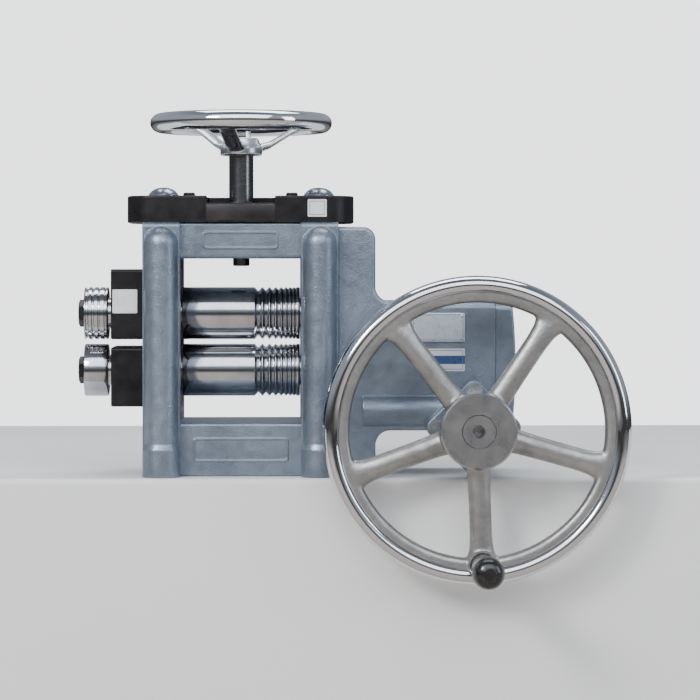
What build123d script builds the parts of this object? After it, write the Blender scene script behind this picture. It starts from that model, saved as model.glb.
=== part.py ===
"""Bench-top rolling press: two steel rolls in a cast frame, closed by a geared top handwheel and driven by a
front handwheel through a right-angle gearbox. Millimetres, X along the rolls, Y to the back, Z up. The origin is
the centre of the base's underside, where the press is bolted to its bench."""

import os
from math import acos, atan, atan2, cos, degrees, hypot, pi, radians, sin, tan

from build123d import *

os.makedirs("parts", exist_ok=True)

# ---- driving dimensions -------------------------------------------------------------------------------------
# rolls
roll_face = 130.0  # working length of each roll
roll_dia = 58.0
roll_gap = 5.0  # gap between the rolls as drawn
lower_axis_z = 114.0
flat_share = 80.0  # plain length of the roll face, left of the wire grooves
groove_widths = (8.0, 7.0, 6.0, 5.2, 4.4, 3.8, 3.2, 2.6)  # square-wire grooves, widest first
groove_land = 0.9
journal_r = 17.0
spigot_r = 11.0  # left shaft end, inside the extension roll
gear_seat_r = 14.0
# frame casting
side_clear = 1.0  # roll face to standard, each side
standard_t = 40.5
standard_depth = 160.0
frame_h = 277.0
base_h = 58.0
bridge_h = 39.0
bar_depth = 144.0
column_r = 18.5
column_top = frame_h - 5.0
foot_r = 20.5
foot_h = 30.0
foot_cone = 6.0
base_wall = 12.0
mount_hole_r = 5.1  # tapping size of the bench bolts
mount_hole_depth = 26.0
# bearing blocks
block_w = 84.0
block_seat_z = 75.0  # sill of the block window
block_over_bush = 4.0  # top of the lower block above its bushes
block_under_bush = 6.0  # foot of the upper block below its bushes
block_head = 49.0  # upper block above the upper roll's axis
block_reach = 36.0  # left blocks beyond the standard
flange_w = 98.0
slide_fit = 0.15  # block to window, each side
bush_wall = 5.0
bush_fit = 0.05  # radial running clearance
spring_r = 5.0
spring_wire = 0.9
spring_pocket = 10.0
spring_y = 30.0
pad_t = 4.0
# closing gear on top
screw_r = 12.0
cap_r = screw_r + 5.0
cap_top = frame_h + 39.4
plate_depth = 150.0
plate_wall = 3.65  # plate outside the chambers of the screw gears
plate_corner = 32.0
plate_t = 29.0
plate_roof = 12.0
pocket_w = 75.0
pocket_depth = 8.0
plate_screw_depth = 22.0
centre_teeth = 45
screw_teeth = 24
centre_gear_t = 14.0
screw_gear_t = 8.0
gear_side_clear = 1.6  # gears to the walls of their chambers
close_travel = 4.7  # largest downward travel of the upper roll
adjust_shaft_r = 13.6
adjust_tail_r = 9.3
adjust_tail_out = 8.6  # tail below the bridge
adjust_wheel_r = 101.0
adjust_rim = (11.0, 10.5)  # half width and half height of the rim
adjust_rim_z = frame_h + 111.0
adjust_hub_r = 23.5
adjust_hub_z = frame_h + 75.0
adjust_hub_h = 20.0
# gear housing on the right
cover_w = 40.5
cover_top = frame_h - 4.3
housing_depth = 148.0
gearbox_out = 171.2  # gearbox mouth beyond the standard
gearbox_bottom = 50.0
gearbox_top = 191.0
end_cap_w = 22.7
housing_recess = 7.0  # screw heads lie below the surface
cap_recess = 9.5
housing_wall = 7.0
bead_r = 21.0
bead_out = 8.0  # bead proud of the housing's front
chamber_out = 78.5  # left wall of the bevel chamber beyond the standard
boss_r = 40.0  # round boss behind the drive bearing
pilot_r = 30.0
boss_depth = 45.0
# drive
drive_out = 146.5  # drive axis beyond the standard
drive_module = 2.5
drive_pinion_teeth = 20
idler_teeth = 28
drive_gear_t = 10.0
bevel_module = 3.0
bevel_pinion_teeth = 12
crown_teeth = 36
roll_gear_teeth = 12
roll_gear_module = 4.75
roll_gear_addendum = 4.9
roll_gear_t = 24.0
pressure_angle = radians(20)
drive_shaft_r = 17.5
pinion_seat_r = 14.0
nut_thread_r = 10.0
idler_shaft_r = 9.0
idler_journal_r = 8.0
carrier_bolt_r = 40.0
carrier_corner_r = 11.0
carrier_front = 97.0  # flange face, in front of the roll axis
carrier_back = 85.0
carrier_nose = 112.0
wheel_r = 165.0
wheel_rim_y = -150.0
wheel_bead = (10.0, 13.0)  # half width and half depth of the rim bead
wheel_web_r = 136.0
wheel_web_t = 16.0
wheel_hub_r = 40.5
wheel_hub_front = 182.0
wheel_hub_back = 121.0
spoke_count = 5
spoke_size = (24.4, 18.0)  # across and along the wheel's axis
spoke_angle = -88.0
handle_r = 17.3
handle_length = 98.0
handle_radius = 143.0

# ---- derived places -----------------------------------------------------------------------------------------
window_half = roll_face / 2 + side_clear
standard_out = window_half + standard_t
screw_x = window_half + standard_t / 2
top_module = 2 * screw_x / (centre_teeth + screw_teeth)
centre_gear_r = top_module * (centre_teeth + 2) / 2
screw_gear_r = top_module * (screw_teeth + 2) / 2
plate_size = (2 * (screw_x + screw_gear_r + gear_side_clear + plate_wall), plate_depth)
drive_x = standard_out + drive_out
gearbox_right = standard_out + gearbox_out
chamber_left = standard_out + chamber_out
upper_axis_z = lower_axis_z + roll_dia + roll_gap
bridge_z = frame_h - bridge_h
block_in = window_half + 0.5
block_out = standard_out + block_reach
bush_r = journal_r + bush_wall
extension_in = block_out + 4.6
extension_w = 26.6
drive_z = lower_axis_z - drive_module * (drive_pinion_teeth + idler_teeth) / 2
crown_pitch_r = bevel_module * crown_teeth / 2
bevel_pinion_pitch_r = bevel_module * bevel_pinion_teeth / 2
cover_out = standard_out + cover_w
end_cap_out = gearbox_right + end_cap_w
housing_front = housing_depth / 2
roll_gear_x = standard_out + 4.0
plate_z = frame_h
plate_top = plate_z + plate_t
screw_gear_z = plate_z + close_travel + 0.5
housing_screw_places = tuple((y, z) for z in (26, frame_h - 25) for y in (-58, 58))
plate_screw_places = tuple((x, y) for x in (-56, 56) for y in (-62, 62))
handle_x = drive_x + handle_radius * cos(radians(spoke_angle))
handle_z = drive_z + handle_radius * sin(radians(spoke_angle))

saved = []


def save(piece, name):
    """Label a finished piece and write it as its own STEP file."""
    piece.part.label = name
    export_step(piece.part, f"parts/{name}.step")
    saved.append(name)


def axis_x(z):
    """The line along X at height z."""
    return Axis((0, 0, z), (1, 0, 0))


def turning_plane(z):
    """A plane whose sketch x is X and whose sketch y is the radius above the axis at height z."""
    return Plane(origin=(0, 0, z), x_dir=(1, 0, 0), z_dir=(0, -1, 0))


def front_plane(y, x=0.0, z=0.0):
    """A plane facing the front at depth y, its origin at (x, z); extrusions along its normal come forward."""
    return Plane(origin=(x, y, z), x_dir=(1, 0, 0), z_dir=(0, -1, 0))


# ---- gear teeth ---------------------------------------------------------------------------------------------
def involute(angle):
    return tan(angle) - angle


def tooth_half_width(height, pitch_r, module, thinning):
    """Half a tooth's width at a height above the pitch circle, on an involute thinned at each flank."""
    base_r = pitch_r * cos(pressure_angle)
    at_angle = acos(base_r / max(pitch_r + height, base_r))
    half_angle = (pi * module / 4 - thinning) / pitch_r + involute(pressure_angle) - involute(at_angle)
    return half_angle * (pitch_r + height)


def gear_outline(teeth, module, addendum, dedendum, thinning, first_tooth, centre=(0.0, 0.0)):
    """Points round a spur gear; first_tooth is the angle in degrees of one tooth's middle."""
    pitch_r = module * teeth / 2
    heights = [-dedendum, -dedendum * 0.45, 0.0, addendum * 0.55, addendum]
    flank = [(pitch_r + h, tooth_half_width(h, pitch_r, module, thinning) / (pitch_r + h)) for h in heights]
    points = []
    for tooth in range(teeth):
        middle = radians(first_tooth + 360 * tooth / teeth)
        for radius, half in flank:
            points.append((radius, middle - half))
        for radius, half in reversed(flank):
            points.append((radius, middle + half))
    return [(centre[0] + r * cos(a), centre[1] + r * sin(a)) for r, a in points]


def bevel_outline(teeth, module, mate_teeth, thinning, first_tooth, share):
    """Points round a straight bevel gear in the plane square to its axis at share of its cone distance."""
    pitch_r = module * teeth / 2
    reach = module * mate_teeth / 2
    cone_angle = atan2(pitch_r, reach)
    cone_length = hypot(pitch_r, reach)
    flank = []
    for height in (-1.25 * module, 0.0, 0.5 * module, module):
        half = tooth_half_width(height, pitch_r / cos(cone_angle), module, thinning)
        radius = share * reach * tan(cone_angle + atan(height / cone_length))
        flank.append((radius, half / (pitch_r + height * cos(cone_angle))))
    points = []
    for tooth in range(teeth):
        middle = radians(first_tooth + 360 * tooth / teeth)
        for radius, half in flank:
            points.append((radius, middle - half))
        for radius, half in reversed(flank):
            points.append((radius, middle + half))
    return [(r * cos(a), r * sin(a)) for r, a in points]


# ---- frame casting ------------------------------------------------------------------------------------------
with BuildPart() as column:
    with BuildSketch(Plane.XZ):
        with BuildLine():
            Polyline(
                (0, column_top),
                (0, 0),
                (foot_r, 0),
                (foot_r, foot_h),
                (column_r, foot_h + foot_cone),
                (column_r, column_top - column_r),
            )
            RadiusArc((column_r, column_top - column_r), (0, column_top), -column_r)
        make_face()
    revolve(axis=Axis.Z)

with BuildPart() as frame_casting:
    for side in (-1, 1):
        with BuildSketch(Plane.YZ.offset(side * screw_x)):
            with Locations((0, frame_h / 2)):
                RectangleRounded(standard_depth, frame_h, 5)
            window_top = bridge_z
            with Locations((0, (block_seat_z + window_top) / 2)):
                Rectangle(block_w + 2 * slide_fit, window_top - block_seat_z, mode=Mode.SUBTRACT)
        extrude(amount=standard_t / 2, both=True)
    with BuildSketch(Plane.YZ.offset(-window_half)):
        with Locations((0, base_h / 2)):
            RectangleRounded(bar_depth, base_h, 3)
        with Locations((0, bridge_z + bridge_h / 2)):
            RectangleRounded(bar_depth, bridge_h, 3)
    extrude(amount=2 * window_half)
    for x in (-screw_x, screw_x):
        for y in (-standard_depth / 2, standard_depth / 2):
            add(Pos(x, y, 0) * column.part)
    # raised plain borders on the front of the bridge and of the base
    for z, size in ((bridge_z + bridge_h / 2, (82, 19)), (base_h / 2, (104, 26))):
        with BuildSketch(front_plane(-bar_depth / 2)):
            with Locations((0, z)):
                RectangleRounded(*size, 4)
                RectangleRounded(size[0] - 4, size[1] - 4, 2.5, mode=Mode.SUBTRACT)
        extrude(amount=0.9)
    # the base is hollow underneath
    with BuildSketch(Plane.XY):
        RectangleRounded(2 * (window_half - base_wall), bar_depth - 2 * base_wall, 8)
    extrude(amount=base_h - base_wall, mode=Mode.SUBTRACT)
    # bench bolts, tapped up into the four feet
    with BuildSketch(Plane.XY):
        with GridLocations(2 * screw_x, standard_depth, 2, 2):
            Circle(mount_hole_r)
    extrude(amount=mount_hole_depth, mode=Mode.SUBTRACT)
    # bores for the closing screws and for the tail of the adjusting shaft
    with BuildSketch(Plane.XY.offset(bridge_z)):
        with Locations((-screw_x, 0), (screw_x, 0)):
            Circle(screw_r + bush_fit)
        Circle(adjust_tail_r + bush_fit)
    extrude(amount=bridge_h, mode=Mode.SUBTRACT)
    # tapped holes for the top plate's screws
    with BuildSketch(Plane.XY.offset(frame_h)):
        with Locations(*plate_screw_places):
            Circle(4)
    extrude(amount=-plate_screw_depth, mode=Mode.SUBTRACT)
    # tapped holes for the gear housing's screws
    with BuildSketch(Plane.YZ.offset(standard_out)):
        with Locations(*housing_screw_places):
            Circle(4)
    extrude(amount=-18, mode=Mode.SUBTRACT)
save(frame_casting, "frame_casting")


# ---- bearing blocks, bushes, springs ------------------------------------------------------------------------
def bearing_block(side, axis_z, bottom, top, pocket_from, pocket_to):
    """A block for one journal, with spring pockets; the left blocks reach out past the standard on a flange."""
    outer = block_out if side < 0 else standard_out
    with BuildPart() as block:
        with BuildSketch(Plane.YZ.offset(side * block_in)):
            with Locations((0, (bottom + top) / 2)):
                Rectangle(block_w, top - bottom)
        extrude(amount=side * (outer - block_in))
        if side < 0:
            with BuildSketch(Plane.YZ.offset(side * (standard_out + 0.4))):
                with Locations((0, (bottom + top) / 2)):
                    RectangleRounded(flange_w, top - bottom, 3)
            extrude(amount=side * (block_reach - 0.4))
        with BuildSketch(Plane.YZ.offset(side * block_in)):
            with Locations((0, axis_z)):
                Circle(bush_r)
        extrude(amount=side * (outer - block_in), mode=Mode.SUBTRACT)
        with BuildSketch(Plane.XY.offset(pocket_from)):
            with Locations((side * screw_x, -spring_y), (side * screw_x, spring_y)):
                Circle(spring_r + 1.5)
        extrude(amount=pocket_to - pocket_from, mode=Mode.SUBTRACT)
        chamfer(block.edges().filter_by(Axis.Y).group_by(Axis.X)[0 if side < 0 else -1], 1)
    return block


lower_block_top = lower_axis_z + bush_r + block_over_bush
upper_block_bottom = upper_axis_z - bush_r - block_under_bush
upper_block_top = upper_axis_z + block_head
for side, hand in ((-1, "left"), (1, "right")):
    lower_block = bearing_block(
        side, lower_axis_z, block_seat_z, lower_block_top, lower_block_top - spring_pocket, lower_block_top
    )
    save(lower_block, f"lower_bearing_block_{hand}")
    upper_block = bearing_block(
        side,
        upper_axis_z,
        upper_block_bottom,
        upper_block_top,
        upper_block_bottom,
        upper_block_bottom + spring_pocket,
    )
    save(upper_block, f"upper_bearing_block_{hand}")

for level, axis_z in (("lower", lower_axis_z), ("upper", upper_axis_z)):
    with BuildPart() as bushes:
        for side, outer in ((-1, block_out), (1, standard_out)):
            with BuildSketch(Plane.YZ.offset(side * (block_in + 0.5))):
                with Locations((0, axis_z)):
                    Circle(bush_r)
                    Circle(journal_r + bush_fit, mode=Mode.SUBTRACT)
            extrude(amount=side * (outer - block_in - 1))
    save(bushes, f"{level}_roll_bushes")

with BuildPart() as lifting_springs:
    spring_foot = lower_block_top - spring_pocket
    spring_length = upper_block_bottom + spring_pocket - spring_foot - 2 * spring_wire
    for x in (-screw_x, screw_x):
        for y in (-spring_y, spring_y):
            with BuildLine() as coil:
                Helix(
                    pitch=spring_length / 5,
                    height=spring_length,
                    radius=spring_r,
                    center=(x, y, spring_foot + spring_wire),
                )
            with BuildSketch(Plane(origin=coil.line @ 0, z_dir=coil.line % 0)):
                Circle(spring_wire)
            sweep(path=coil.line, is_frenet=True)
save(lifting_springs, "lifting_springs")

with BuildPart() as thrust_pads:
    with BuildSketch(Plane.XY.offset(upper_block_top)):
        with Locations((-screw_x, 0), (screw_x, 0)):
            Circle(screw_r + 1)
    extrude(amount=pad_t)
save(thrust_pads, "thrust_pads")


# ---- rolls --------------------------------------------------------------------------------------------------
def groove_points(surface_r):
    """The zigzag of the square-wire grooves, from the first groove to the right end of the roll face."""
    points = []
    x = -roll_face / 2 + flat_share
    for width in groove_widths:
        points += [(x, surface_r), (x + width / 2, surface_r - width / 2), (x + width, surface_r)]
        x += width + groove_land
    return points


def roll(axis_z, right_steps):
    """A roll turned in one piece with its journals; right_steps are (x, radius) corners right of the journal."""
    face_r = roll_dia / 2
    half = roll_face / 2
    thread_end = -(extension_in + extension_w + 5.7)
    with BuildPart() as turned:
        with BuildSketch(turning_plane(axis_z)):
            with BuildLine():
                Polyline(
                    (thread_end, 0),
                    (thread_end, spigot_r - 3),
                    (-extension_in - extension_w + 0.3, spigot_r - 3),
                    (-extension_in - extension_w + 0.3, spigot_r),
                    (-extension_in, spigot_r),
                    (-extension_in, journal_r),
                    (-half, journal_r),
                    (-half, face_r - 1),
                    (-half + 1, face_r),
                    *groove_points(face_r),
                    (half - 1, face_r),
                    (half, face_r - 1),
                    (half, journal_r),
                    (standard_out + 3, journal_r),
                    (standard_out + 3, right_steps[0][1]),
                    *right_steps,
                    (right_steps[-1][0], 0),
                    close=True,
                )
            make_face()
        revolve(axis=axis_x(axis_z))
    return turned


crown_back = drive_x - bevel_pinion_pitch_r - 20
upper_nut_x = roll_gear_x + roll_gear_t
upper_roll = roll(upper_axis_z, [(upper_nut_x, gear_seat_r), (upper_nut_x, 10.0), (upper_nut_x + 7, 10.0)])
save(upper_roll, "upper_roll")
crown_nut_x = drive_x - bevel_pinion_pitch_r - 2
lower_roll = roll(lower_axis_z, [(crown_nut_x, gear_seat_r)])
save(lower_roll, "lower_roll")


def extension_roll(axis_z, grooves):
    """A ring of the roll's diameter, worn on the roll's left spigot; grooves are (x, radius) of round grooves."""
    left = -extension_in - extension_w
    face_r = roll_dia / 2
    with BuildPart() as ring:
        with BuildSketch(turning_plane(axis_z)):
            with BuildLine():
                Polyline((left, spigot_r), (left, face_r - 1.2), (left + 1.2, face_r))
                reached = left + 1.2
                for x, radius in grooves:
                    Line((reached, face_r), (x - radius, face_r))
                    ThreePointArc((x - radius, face_r), (x, face_r - radius), (x + radius, face_r))
                    reached = x + radius
                Polyline(
                    (reached, face_r),
                    (-extension_in - 1.2, face_r),
                    (-extension_in, face_r - 1.2),
                    (-extension_in, spigot_r),
                    (left, spigot_r),
                )
            make_face()
        revolve(axis=axis_x(axis_z))
    return ring


groove_pitch = extension_w / 4
wire_grooves = [(-extension_in - extension_w + groove_pitch * (n + 0.5), 1.95 - 0.25 * n) for n in range(4)]
upper_extension = extension_roll(upper_axis_z, wire_grooves)
save(upper_extension, "upper_extension_roll")
lower_extension = extension_roll(lower_axis_z, [])
save(lower_extension, "lower_extension_roll")

for level, axis_z in (("upper", upper_axis_z), ("lower", lower_axis_z)):
    with BuildPart() as end_nut:
        with BuildSketch(Plane.YZ.offset(-extension_in - extension_w)):
            with Locations((0, axis_z)):
                RegularPolygon(15.2, 6, rotation=30)
                Circle(spigot_r - 3, mode=Mode.SUBTRACT)
        extrude(amount=-6.7)
        with BuildSketch(turning_plane(axis_z)):
            with BuildLine():
                Polyline((-extension_in - extension_w - 6.7, 12.4), (-extension_in - extension_w - 6.7, 16),
                         (-extension_in - extension_w - 4.9, 16), close=True)
            make_face()
        revolve(axis=axis_x(axis_z), mode=Mode.SUBTRACT)
    save(end_nut, f"{level}_extension_nut")


def roll_gear(axis_z, first_tooth):
    """A long-toothed gear that stays in mesh while the upper roll rises and falls."""
    with BuildPart() as gear:
        with BuildSketch(Plane.YZ.offset(roll_gear_x)):
            with BuildLine():
                Polyline(
                    *gear_outline(
                        roll_gear_teeth,
                        roll_gear_module,
                        roll_gear_addendum,
                        roll_gear_addendum + 0.6,
                        0.5,
                        first_tooth,
                        (0, axis_z),
                    ),
                    close=True,
                )
            make_face()
            with Locations((0, axis_z)):
                Circle(gear_seat_r, mode=Mode.SUBTRACT)
        extrude(amount=roll_gear_t)
    return gear


save(roll_gear(lower_axis_z, 90), "lower_roll_gear")
save(roll_gear(upper_axis_z, 90 + 180 / roll_gear_teeth), "upper_roll_gear")

with BuildPart() as upper_gear_nut:
    with BuildSketch(Plane.YZ.offset(upper_nut_x)):
        with Locations((0, upper_axis_z)):
            Circle(16)
            Circle(10, mode=Mode.SUBTRACT)
    extrude(amount=7)
save(upper_gear_nut, "upper_gear_nut")

# ---- gear housing -------------------------------------------------------------------------------------------
bead_y = -(housing_front + bead_out - bead_r)
bead_z = gearbox_bottom + bead_r
boss_front = -carrier_back
idler_outer_r = drive_module * (idler_teeth + 2) / 2
idler_pocket = (idler_outer_r + gear_side_clear, -housing_front + housing_wall, 16.0)
tunnel_r = gear_seat_r + bush_wall
chamber_front = -housing_front + housing_wall
roll_gear_r = roll_gear_module * roll_gear_teeth / 2 + roll_gear_addendum
cover_chamber_top = upper_axis_z + roll_gear_r + 8
cover_chamber_bottom = lower_axis_z - roll_gear_r - 5
cap_chamber = 8.0
cap_screw_places = (
    (-56, gearbox_top - 21),
    (56, gearbox_top - 21),
    (0, gearbox_top - 9),
    (56, gearbox_bottom + 24),
    (0, gearbox_bottom + 12),
)


def drive_plane(y):
    """A plane facing the front at depth y, centred on the drive axis."""
    return front_plane(y, drive_x, drive_z)


def idler_plane(y):
    """A plane facing the front at depth y, centred on the idler axis."""
    return front_plane(y, drive_x, lower_axis_z)


with BuildSketch() as carrier_square:
    Rectangle(carrier_bolt_r * 2**0.5, carrier_bolt_r * 2**0.5, rotation=45)
    offset(amount=carrier_corner_r, kind=Kind.ARC)
carrier_outline = carrier_square.sketch

with BuildPart() as gear_housing:
    with BuildSketch(front_plane(housing_front)):
        with Locations((standard_out + cover_w / 2, cover_top / 2)):
            Rectangle(cover_w, cover_top - 1)
        with Locations(((cover_out + gearbox_right) / 2, (gearbox_bottom + gearbox_top) / 2)):
            Rectangle(gearbox_right - cover_out, gearbox_top - gearbox_bottom)
    extrude(amount=housing_depth)
    along = gear_housing.edges().filter_by(Axis.Y)
    inner = along.filter_by_position(Axis.X, cover_out - 0.1, cover_out + 0.1)
    fillet(inner.filter_by_position(Axis.Z, gearbox_bottom - 1, gearbox_top + 1), 16)
    outer = gear_housing.edges().filter_by(Axis.Y)
    outer = outer.filter_by_position(Axis.X, cover_out - 0.1, gearbox_right + 0.1)
    fillet(outer.filter_by_position(Axis.Z, cover_top - 2, cover_top + 1), 14)
    top_back = gear_housing.edges().filter_by(Axis.X).group_by(Axis.Z)[-1]
    fillet(top_back, 4)
    with BuildSketch(Plane.YZ.offset(cover_out + 16)):
        for side in (-1, 1):
            with BuildLine():
                Polyline(
                    (side * (housing_front - 7), gearbox_top),
                    (side * housing_front, gearbox_top - 7),
                    (side * housing_front, gearbox_top),
                    close=True,
                )
            make_face()
    extrude(amount=gearbox_right - cover_out - 16, mode=Mode.SUBTRACT)
    # a round ledge along the front of the gearbox, over the drive bearing's boss
    with BuildSketch(Plane.YZ.offset(cover_out - 14)):
        with Locations((bead_y, bead_z)):
            Circle(bead_r)
    extrude(amount=drive_x - 8 - cover_out + 14)
    with BuildSketch(drive_plane(boss_front)):
        Circle(boss_r)
    extrude(amount=-boss_depth)
    with BuildSketch(drive_plane(boss_front)):
        add(carrier_outline)
    extrude(amount=-(carrier_back - housing_front - 2) + 0.6)
    # chambers: roll gears in the cover, the tunnel of the lower shaft, the bevel gears open to the right
    with BuildSketch(Plane.YZ.offset(standard_out)):
        with Locations((0, (cover_chamber_top + cover_chamber_bottom) / 2)):
            RectangleRounded(84, cover_chamber_top - cover_chamber_bottom, 30)
    extrude(amount=cover_w - 4.5, mode=Mode.SUBTRACT)
    with BuildSketch(Plane.YZ.offset(standard_out)):
        with Locations((0, lower_axis_z)):
            Circle(tunnel_r)
    extrude(amount=chamber_left - standard_out, mode=Mode.SUBTRACT)
    with BuildSketch(Plane.YZ.offset(chamber_left)):
        with Locations((0, (gearbox_bottom + gearbox_top) / 2)):
            RectangleRounded(
                housing_depth - 2 * housing_wall, gearbox_top - gearbox_bottom - 2 * housing_wall, 10
            )
    extrude(amount=gearbox_right - chamber_left, mode=Mode.SUBTRACT)
    with BuildSketch(drive_plane(boss_front)):
        Circle(pilot_r)
    extrude(amount=-boss_depth + 7, mode=Mode.SUBTRACT)
    with BuildSketch(idler_plane(idler_pocket[1])):
        Circle(idler_pocket[0])
    extrude(amount=-idler_pocket[2], mode=Mode.SUBTRACT)
    # seats of the idler shaft's bushes, blind at the front and through at the back
    with BuildSketch(idler_plane(-housing_front + 1.5)):
        Circle(idler_journal_r + bush_wall)
    extrude(amount=-housing_wall, mode=Mode.SUBTRACT)
    with BuildSketch(idler_plane(housing_front)):
        Circle(idler_journal_r + bush_wall)
    extrude(amount=housing_wall, mode=Mode.SUBTRACT)
    # screw holes
    with BuildSketch(drive_plane(boss_front)):
        with PolarLocations(carrier_bolt_r, 4):
            Circle(4)
    extrude(amount=-11, mode=Mode.SUBTRACT)
    with BuildSketch(Plane.YZ.offset(standard_out)):
        with Locations(*housing_screw_places):
            Circle(4)
    extrude(amount=cover_w, mode=Mode.SUBTRACT)
    with BuildSketch(Plane.YZ.offset(cover_out)):
        with Locations(*housing_screw_places):
            Circle(7)
    extrude(amount=-housing_recess, mode=Mode.SUBTRACT)
save(gear_housing, "gear_housing")

with BuildPart() as gearbox_end_cap:
    with BuildSketch(front_plane(housing_front - 2)):
        with BuildLine():
            Polyline((end_cap_out - 4, gearbox_bottom), (gearbox_right, gearbox_bottom),
                     (gearbox_right, gearbox_top), (end_cap_out - 4, gearbox_top))
            ThreePointArc(
                (end_cap_out - 4, gearbox_top),
                (end_cap_out, (gearbox_top + gearbox_bottom) / 2),
                (end_cap_out - 4, gearbox_bottom),
            )
        make_face()
    extrude(amount=housing_depth - 4)
    fillet(gearbox_end_cap.edges().filter_by(Axis.X), 10)
    fillet(gearbox_end_cap.faces().sort_by(Axis.X)[-1].edges(), 3)
    with BuildSketch(Plane.YZ.offset(gearbox_right)):
        with Locations((0, (gearbox_bottom + gearbox_top) / 2 + 6)):
            RectangleRounded(90, 84, 14)
    extrude(amount=cap_chamber, mode=Mode.SUBTRACT)
    with BuildSketch(idler_plane(idler_pocket[1])):
        Circle(idler_pocket[0])
    extrude(amount=-idler_pocket[2], mode=Mode.SUBTRACT)
    with BuildSketch(drive_plane(boss_front)):
        Circle(boss_r + 0.3)
    extrude(amount=-boss_depth - 0.3, mode=Mode.SUBTRACT)
    with BuildSketch(Plane.YZ.offset(gearbox_right)):
        with Locations(*cap_screw_places):
            Circle(3)
    extrude(amount=end_cap_w, mode=Mode.SUBTRACT)
    with BuildSketch(Plane.YZ.offset(end_cap_out)):
        with Locations(*cap_screw_places):
            Circle(5.5)
    extrude(amount=-cap_recess, mode=Mode.SUBTRACT)
save(gearbox_end_cap, "gearbox_end_cap")


def screw_row(places, plane_x, shank_r, shank, head_r, head):
    """Socket-head screws along X; places are (y, z) and the heads lie right of plane_x, their seat."""
    with BuildPart() as row:
        with BuildSketch(Plane.YZ.offset(plane_x)):
            with Locations(*places):
                Circle(shank_r)
        extrude(amount=-shank)
        with BuildSketch(Plane.YZ.offset(plane_x)):
            with Locations(*places):
                Circle(head_r)
        extrude(amount=head)
        chamfer(row.edges().filter_by(GeomType.CIRCLE).group_by(Axis.X)[-1], 0.8)
        with BuildSketch(Plane.YZ.offset(plane_x + head)):
            with Locations(*places):
                RegularPolygon(head_r * 0.5, 6)
        extrude(amount=-head * 0.6, mode=Mode.SUBTRACT)
    return row


housing_seat = cover_out - housing_recess
cap_seat = end_cap_out - cap_recess
save(screw_row(housing_screw_places, housing_seat, 4, housing_seat - standard_out + 16, 6.5, 6), "housing_screws")
save(screw_row(cap_screw_places, cap_seat, 3, cap_seat - gearbox_right, 5, 4), "end_cap_screws")

with BuildPart() as shaft_bush:
    with BuildSketch(Plane.YZ.offset(cover_out + 4)):
        with Locations((0, lower_axis_z)):
            Circle(tunnel_r)
            Circle(gear_seat_r + bush_fit, mode=Mode.SUBTRACT)
    extrude(amount=chamber_left - cover_out - 6)
save(shaft_bush, "shaft_bush")

with BuildPart() as drive_carrier:
    with BuildSketch(drive_plane(-carrier_front)):
        add(carrier_outline)
    extrude(amount=-(carrier_front - carrier_back))
    chamfer(drive_carrier.faces().sort_by(Axis.Y)[0].edges(), 1)
    with BuildSketch(drive_plane(-carrier_nose)):
        Circle(29)
    extrude(amount=-(carrier_nose - carrier_front))
    chamfer(drive_carrier.faces().sort_by(Axis.Y)[0].edges(), 1.5)
    with BuildSketch(drive_plane(-carrier_back)):
        Circle(pilot_r)
    extrude(amount=-14)
    with BuildSketch(drive_plane(-carrier_nose)):
        Circle(drive_shaft_r + bush_wall)
    extrude(amount=-(carrier_nose - carrier_back + 14), mode=Mode.SUBTRACT)
    with BuildSketch(drive_plane(-carrier_front)):
        with PolarLocations(carrier_bolt_r, 4):
            Circle(4)
    extrude(amount=-(carrier_front - carrier_back), mode=Mode.SUBTRACT)
save(drive_carrier, "drive_carrier")

with BuildPart() as drive_bush:
    with BuildSketch(drive_plane(-carrier_nose)):
        Circle(drive_shaft_r + bush_wall)
        Circle(drive_shaft_r + bush_fit, mode=Mode.SUBTRACT)
    extrude(amount=-(carrier_nose - carrier_back + 14))
save(drive_bush, "drive_bush")

with BuildPart() as carrier_bolts:
    with BuildSketch(drive_plane(-carrier_front)):
        with PolarLocations(carrier_bolt_r, 4):
            Circle(9.4)
    extrude(amount=1.2)
    with BuildSketch(drive_plane(-carrier_front - 1.2)):
        with PolarLocations(carrier_bolt_r, 4):
            RegularPolygon(8.6, 6)
    extrude(amount=5.6)
    with BuildSketch(drive_plane(-carrier_front)):
        with PolarLocations(carrier_bolt_r, 4):
            Circle(4)
    extrude(amount=-21)
save(carrier_bolts, "carrier_bolts")

with BuildPart() as idler_bushes:
    for y, depth in ((-housing_front + 1.5, -housing_wall + 1.7), (housing_front, housing_wall)):
        with BuildSketch(idler_plane(y)):
            Circle(idler_journal_r + bush_wall)
            Circle(idler_journal_r + bush_fit, mode=Mode.SUBTRACT)
        extrude(amount=depth)
save(idler_bushes, "idler_bushes")

with BuildPart() as idler_end_plate:
    with BuildSketch(idler_plane(housing_front + 5)):
        Circle(24)
        with PolarLocations(18.5, 3, start_angle=90):
            Circle(2.5, mode=Mode.SUBTRACT)
    extrude(amount=5)
    chamfer(idler_end_plate.faces().sort_by(Axis.Y)[-1].edges().sort_by(SortBy.LENGTH)[-1], 1)
save(idler_end_plate, "idler_end_plate")

# ---- plates and labels, all left blank ----------------------------------------------------------------------
with BuildPart() as nameplate:
    with BuildSketch(front_plane(-housing_front)):
        with Locations((drive_x - 37.8, gearbox_top - 28.6)):
            RectangleRounded(58.4, 31.7, 2)
    extrude(amount=3)
    chamfer(nameplate.faces().sort_by(Axis.Y)[0].edges(), 0.8)
save(nameplate, "nameplate")

with BuildPart() as housing_label:
    with BuildSketch(front_plane(-housing_front)):
        with Locations((drive_x - 30.8, gearbox_top - 64)):
            RectangleRounded(44.4, 24.7, 1)
    extrude(amount=0.5)
save(housing_label, "housing_label")

with BuildPart() as block_label:
    with BuildSketch(front_plane(-flange_w / 2)):
        with Locations((-block_out + 15.5, upper_axis_z + 13.7)):
            RectangleRounded(27, 26, 1)
    extrude(amount=0.5)
save(block_label, "block_label")

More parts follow.
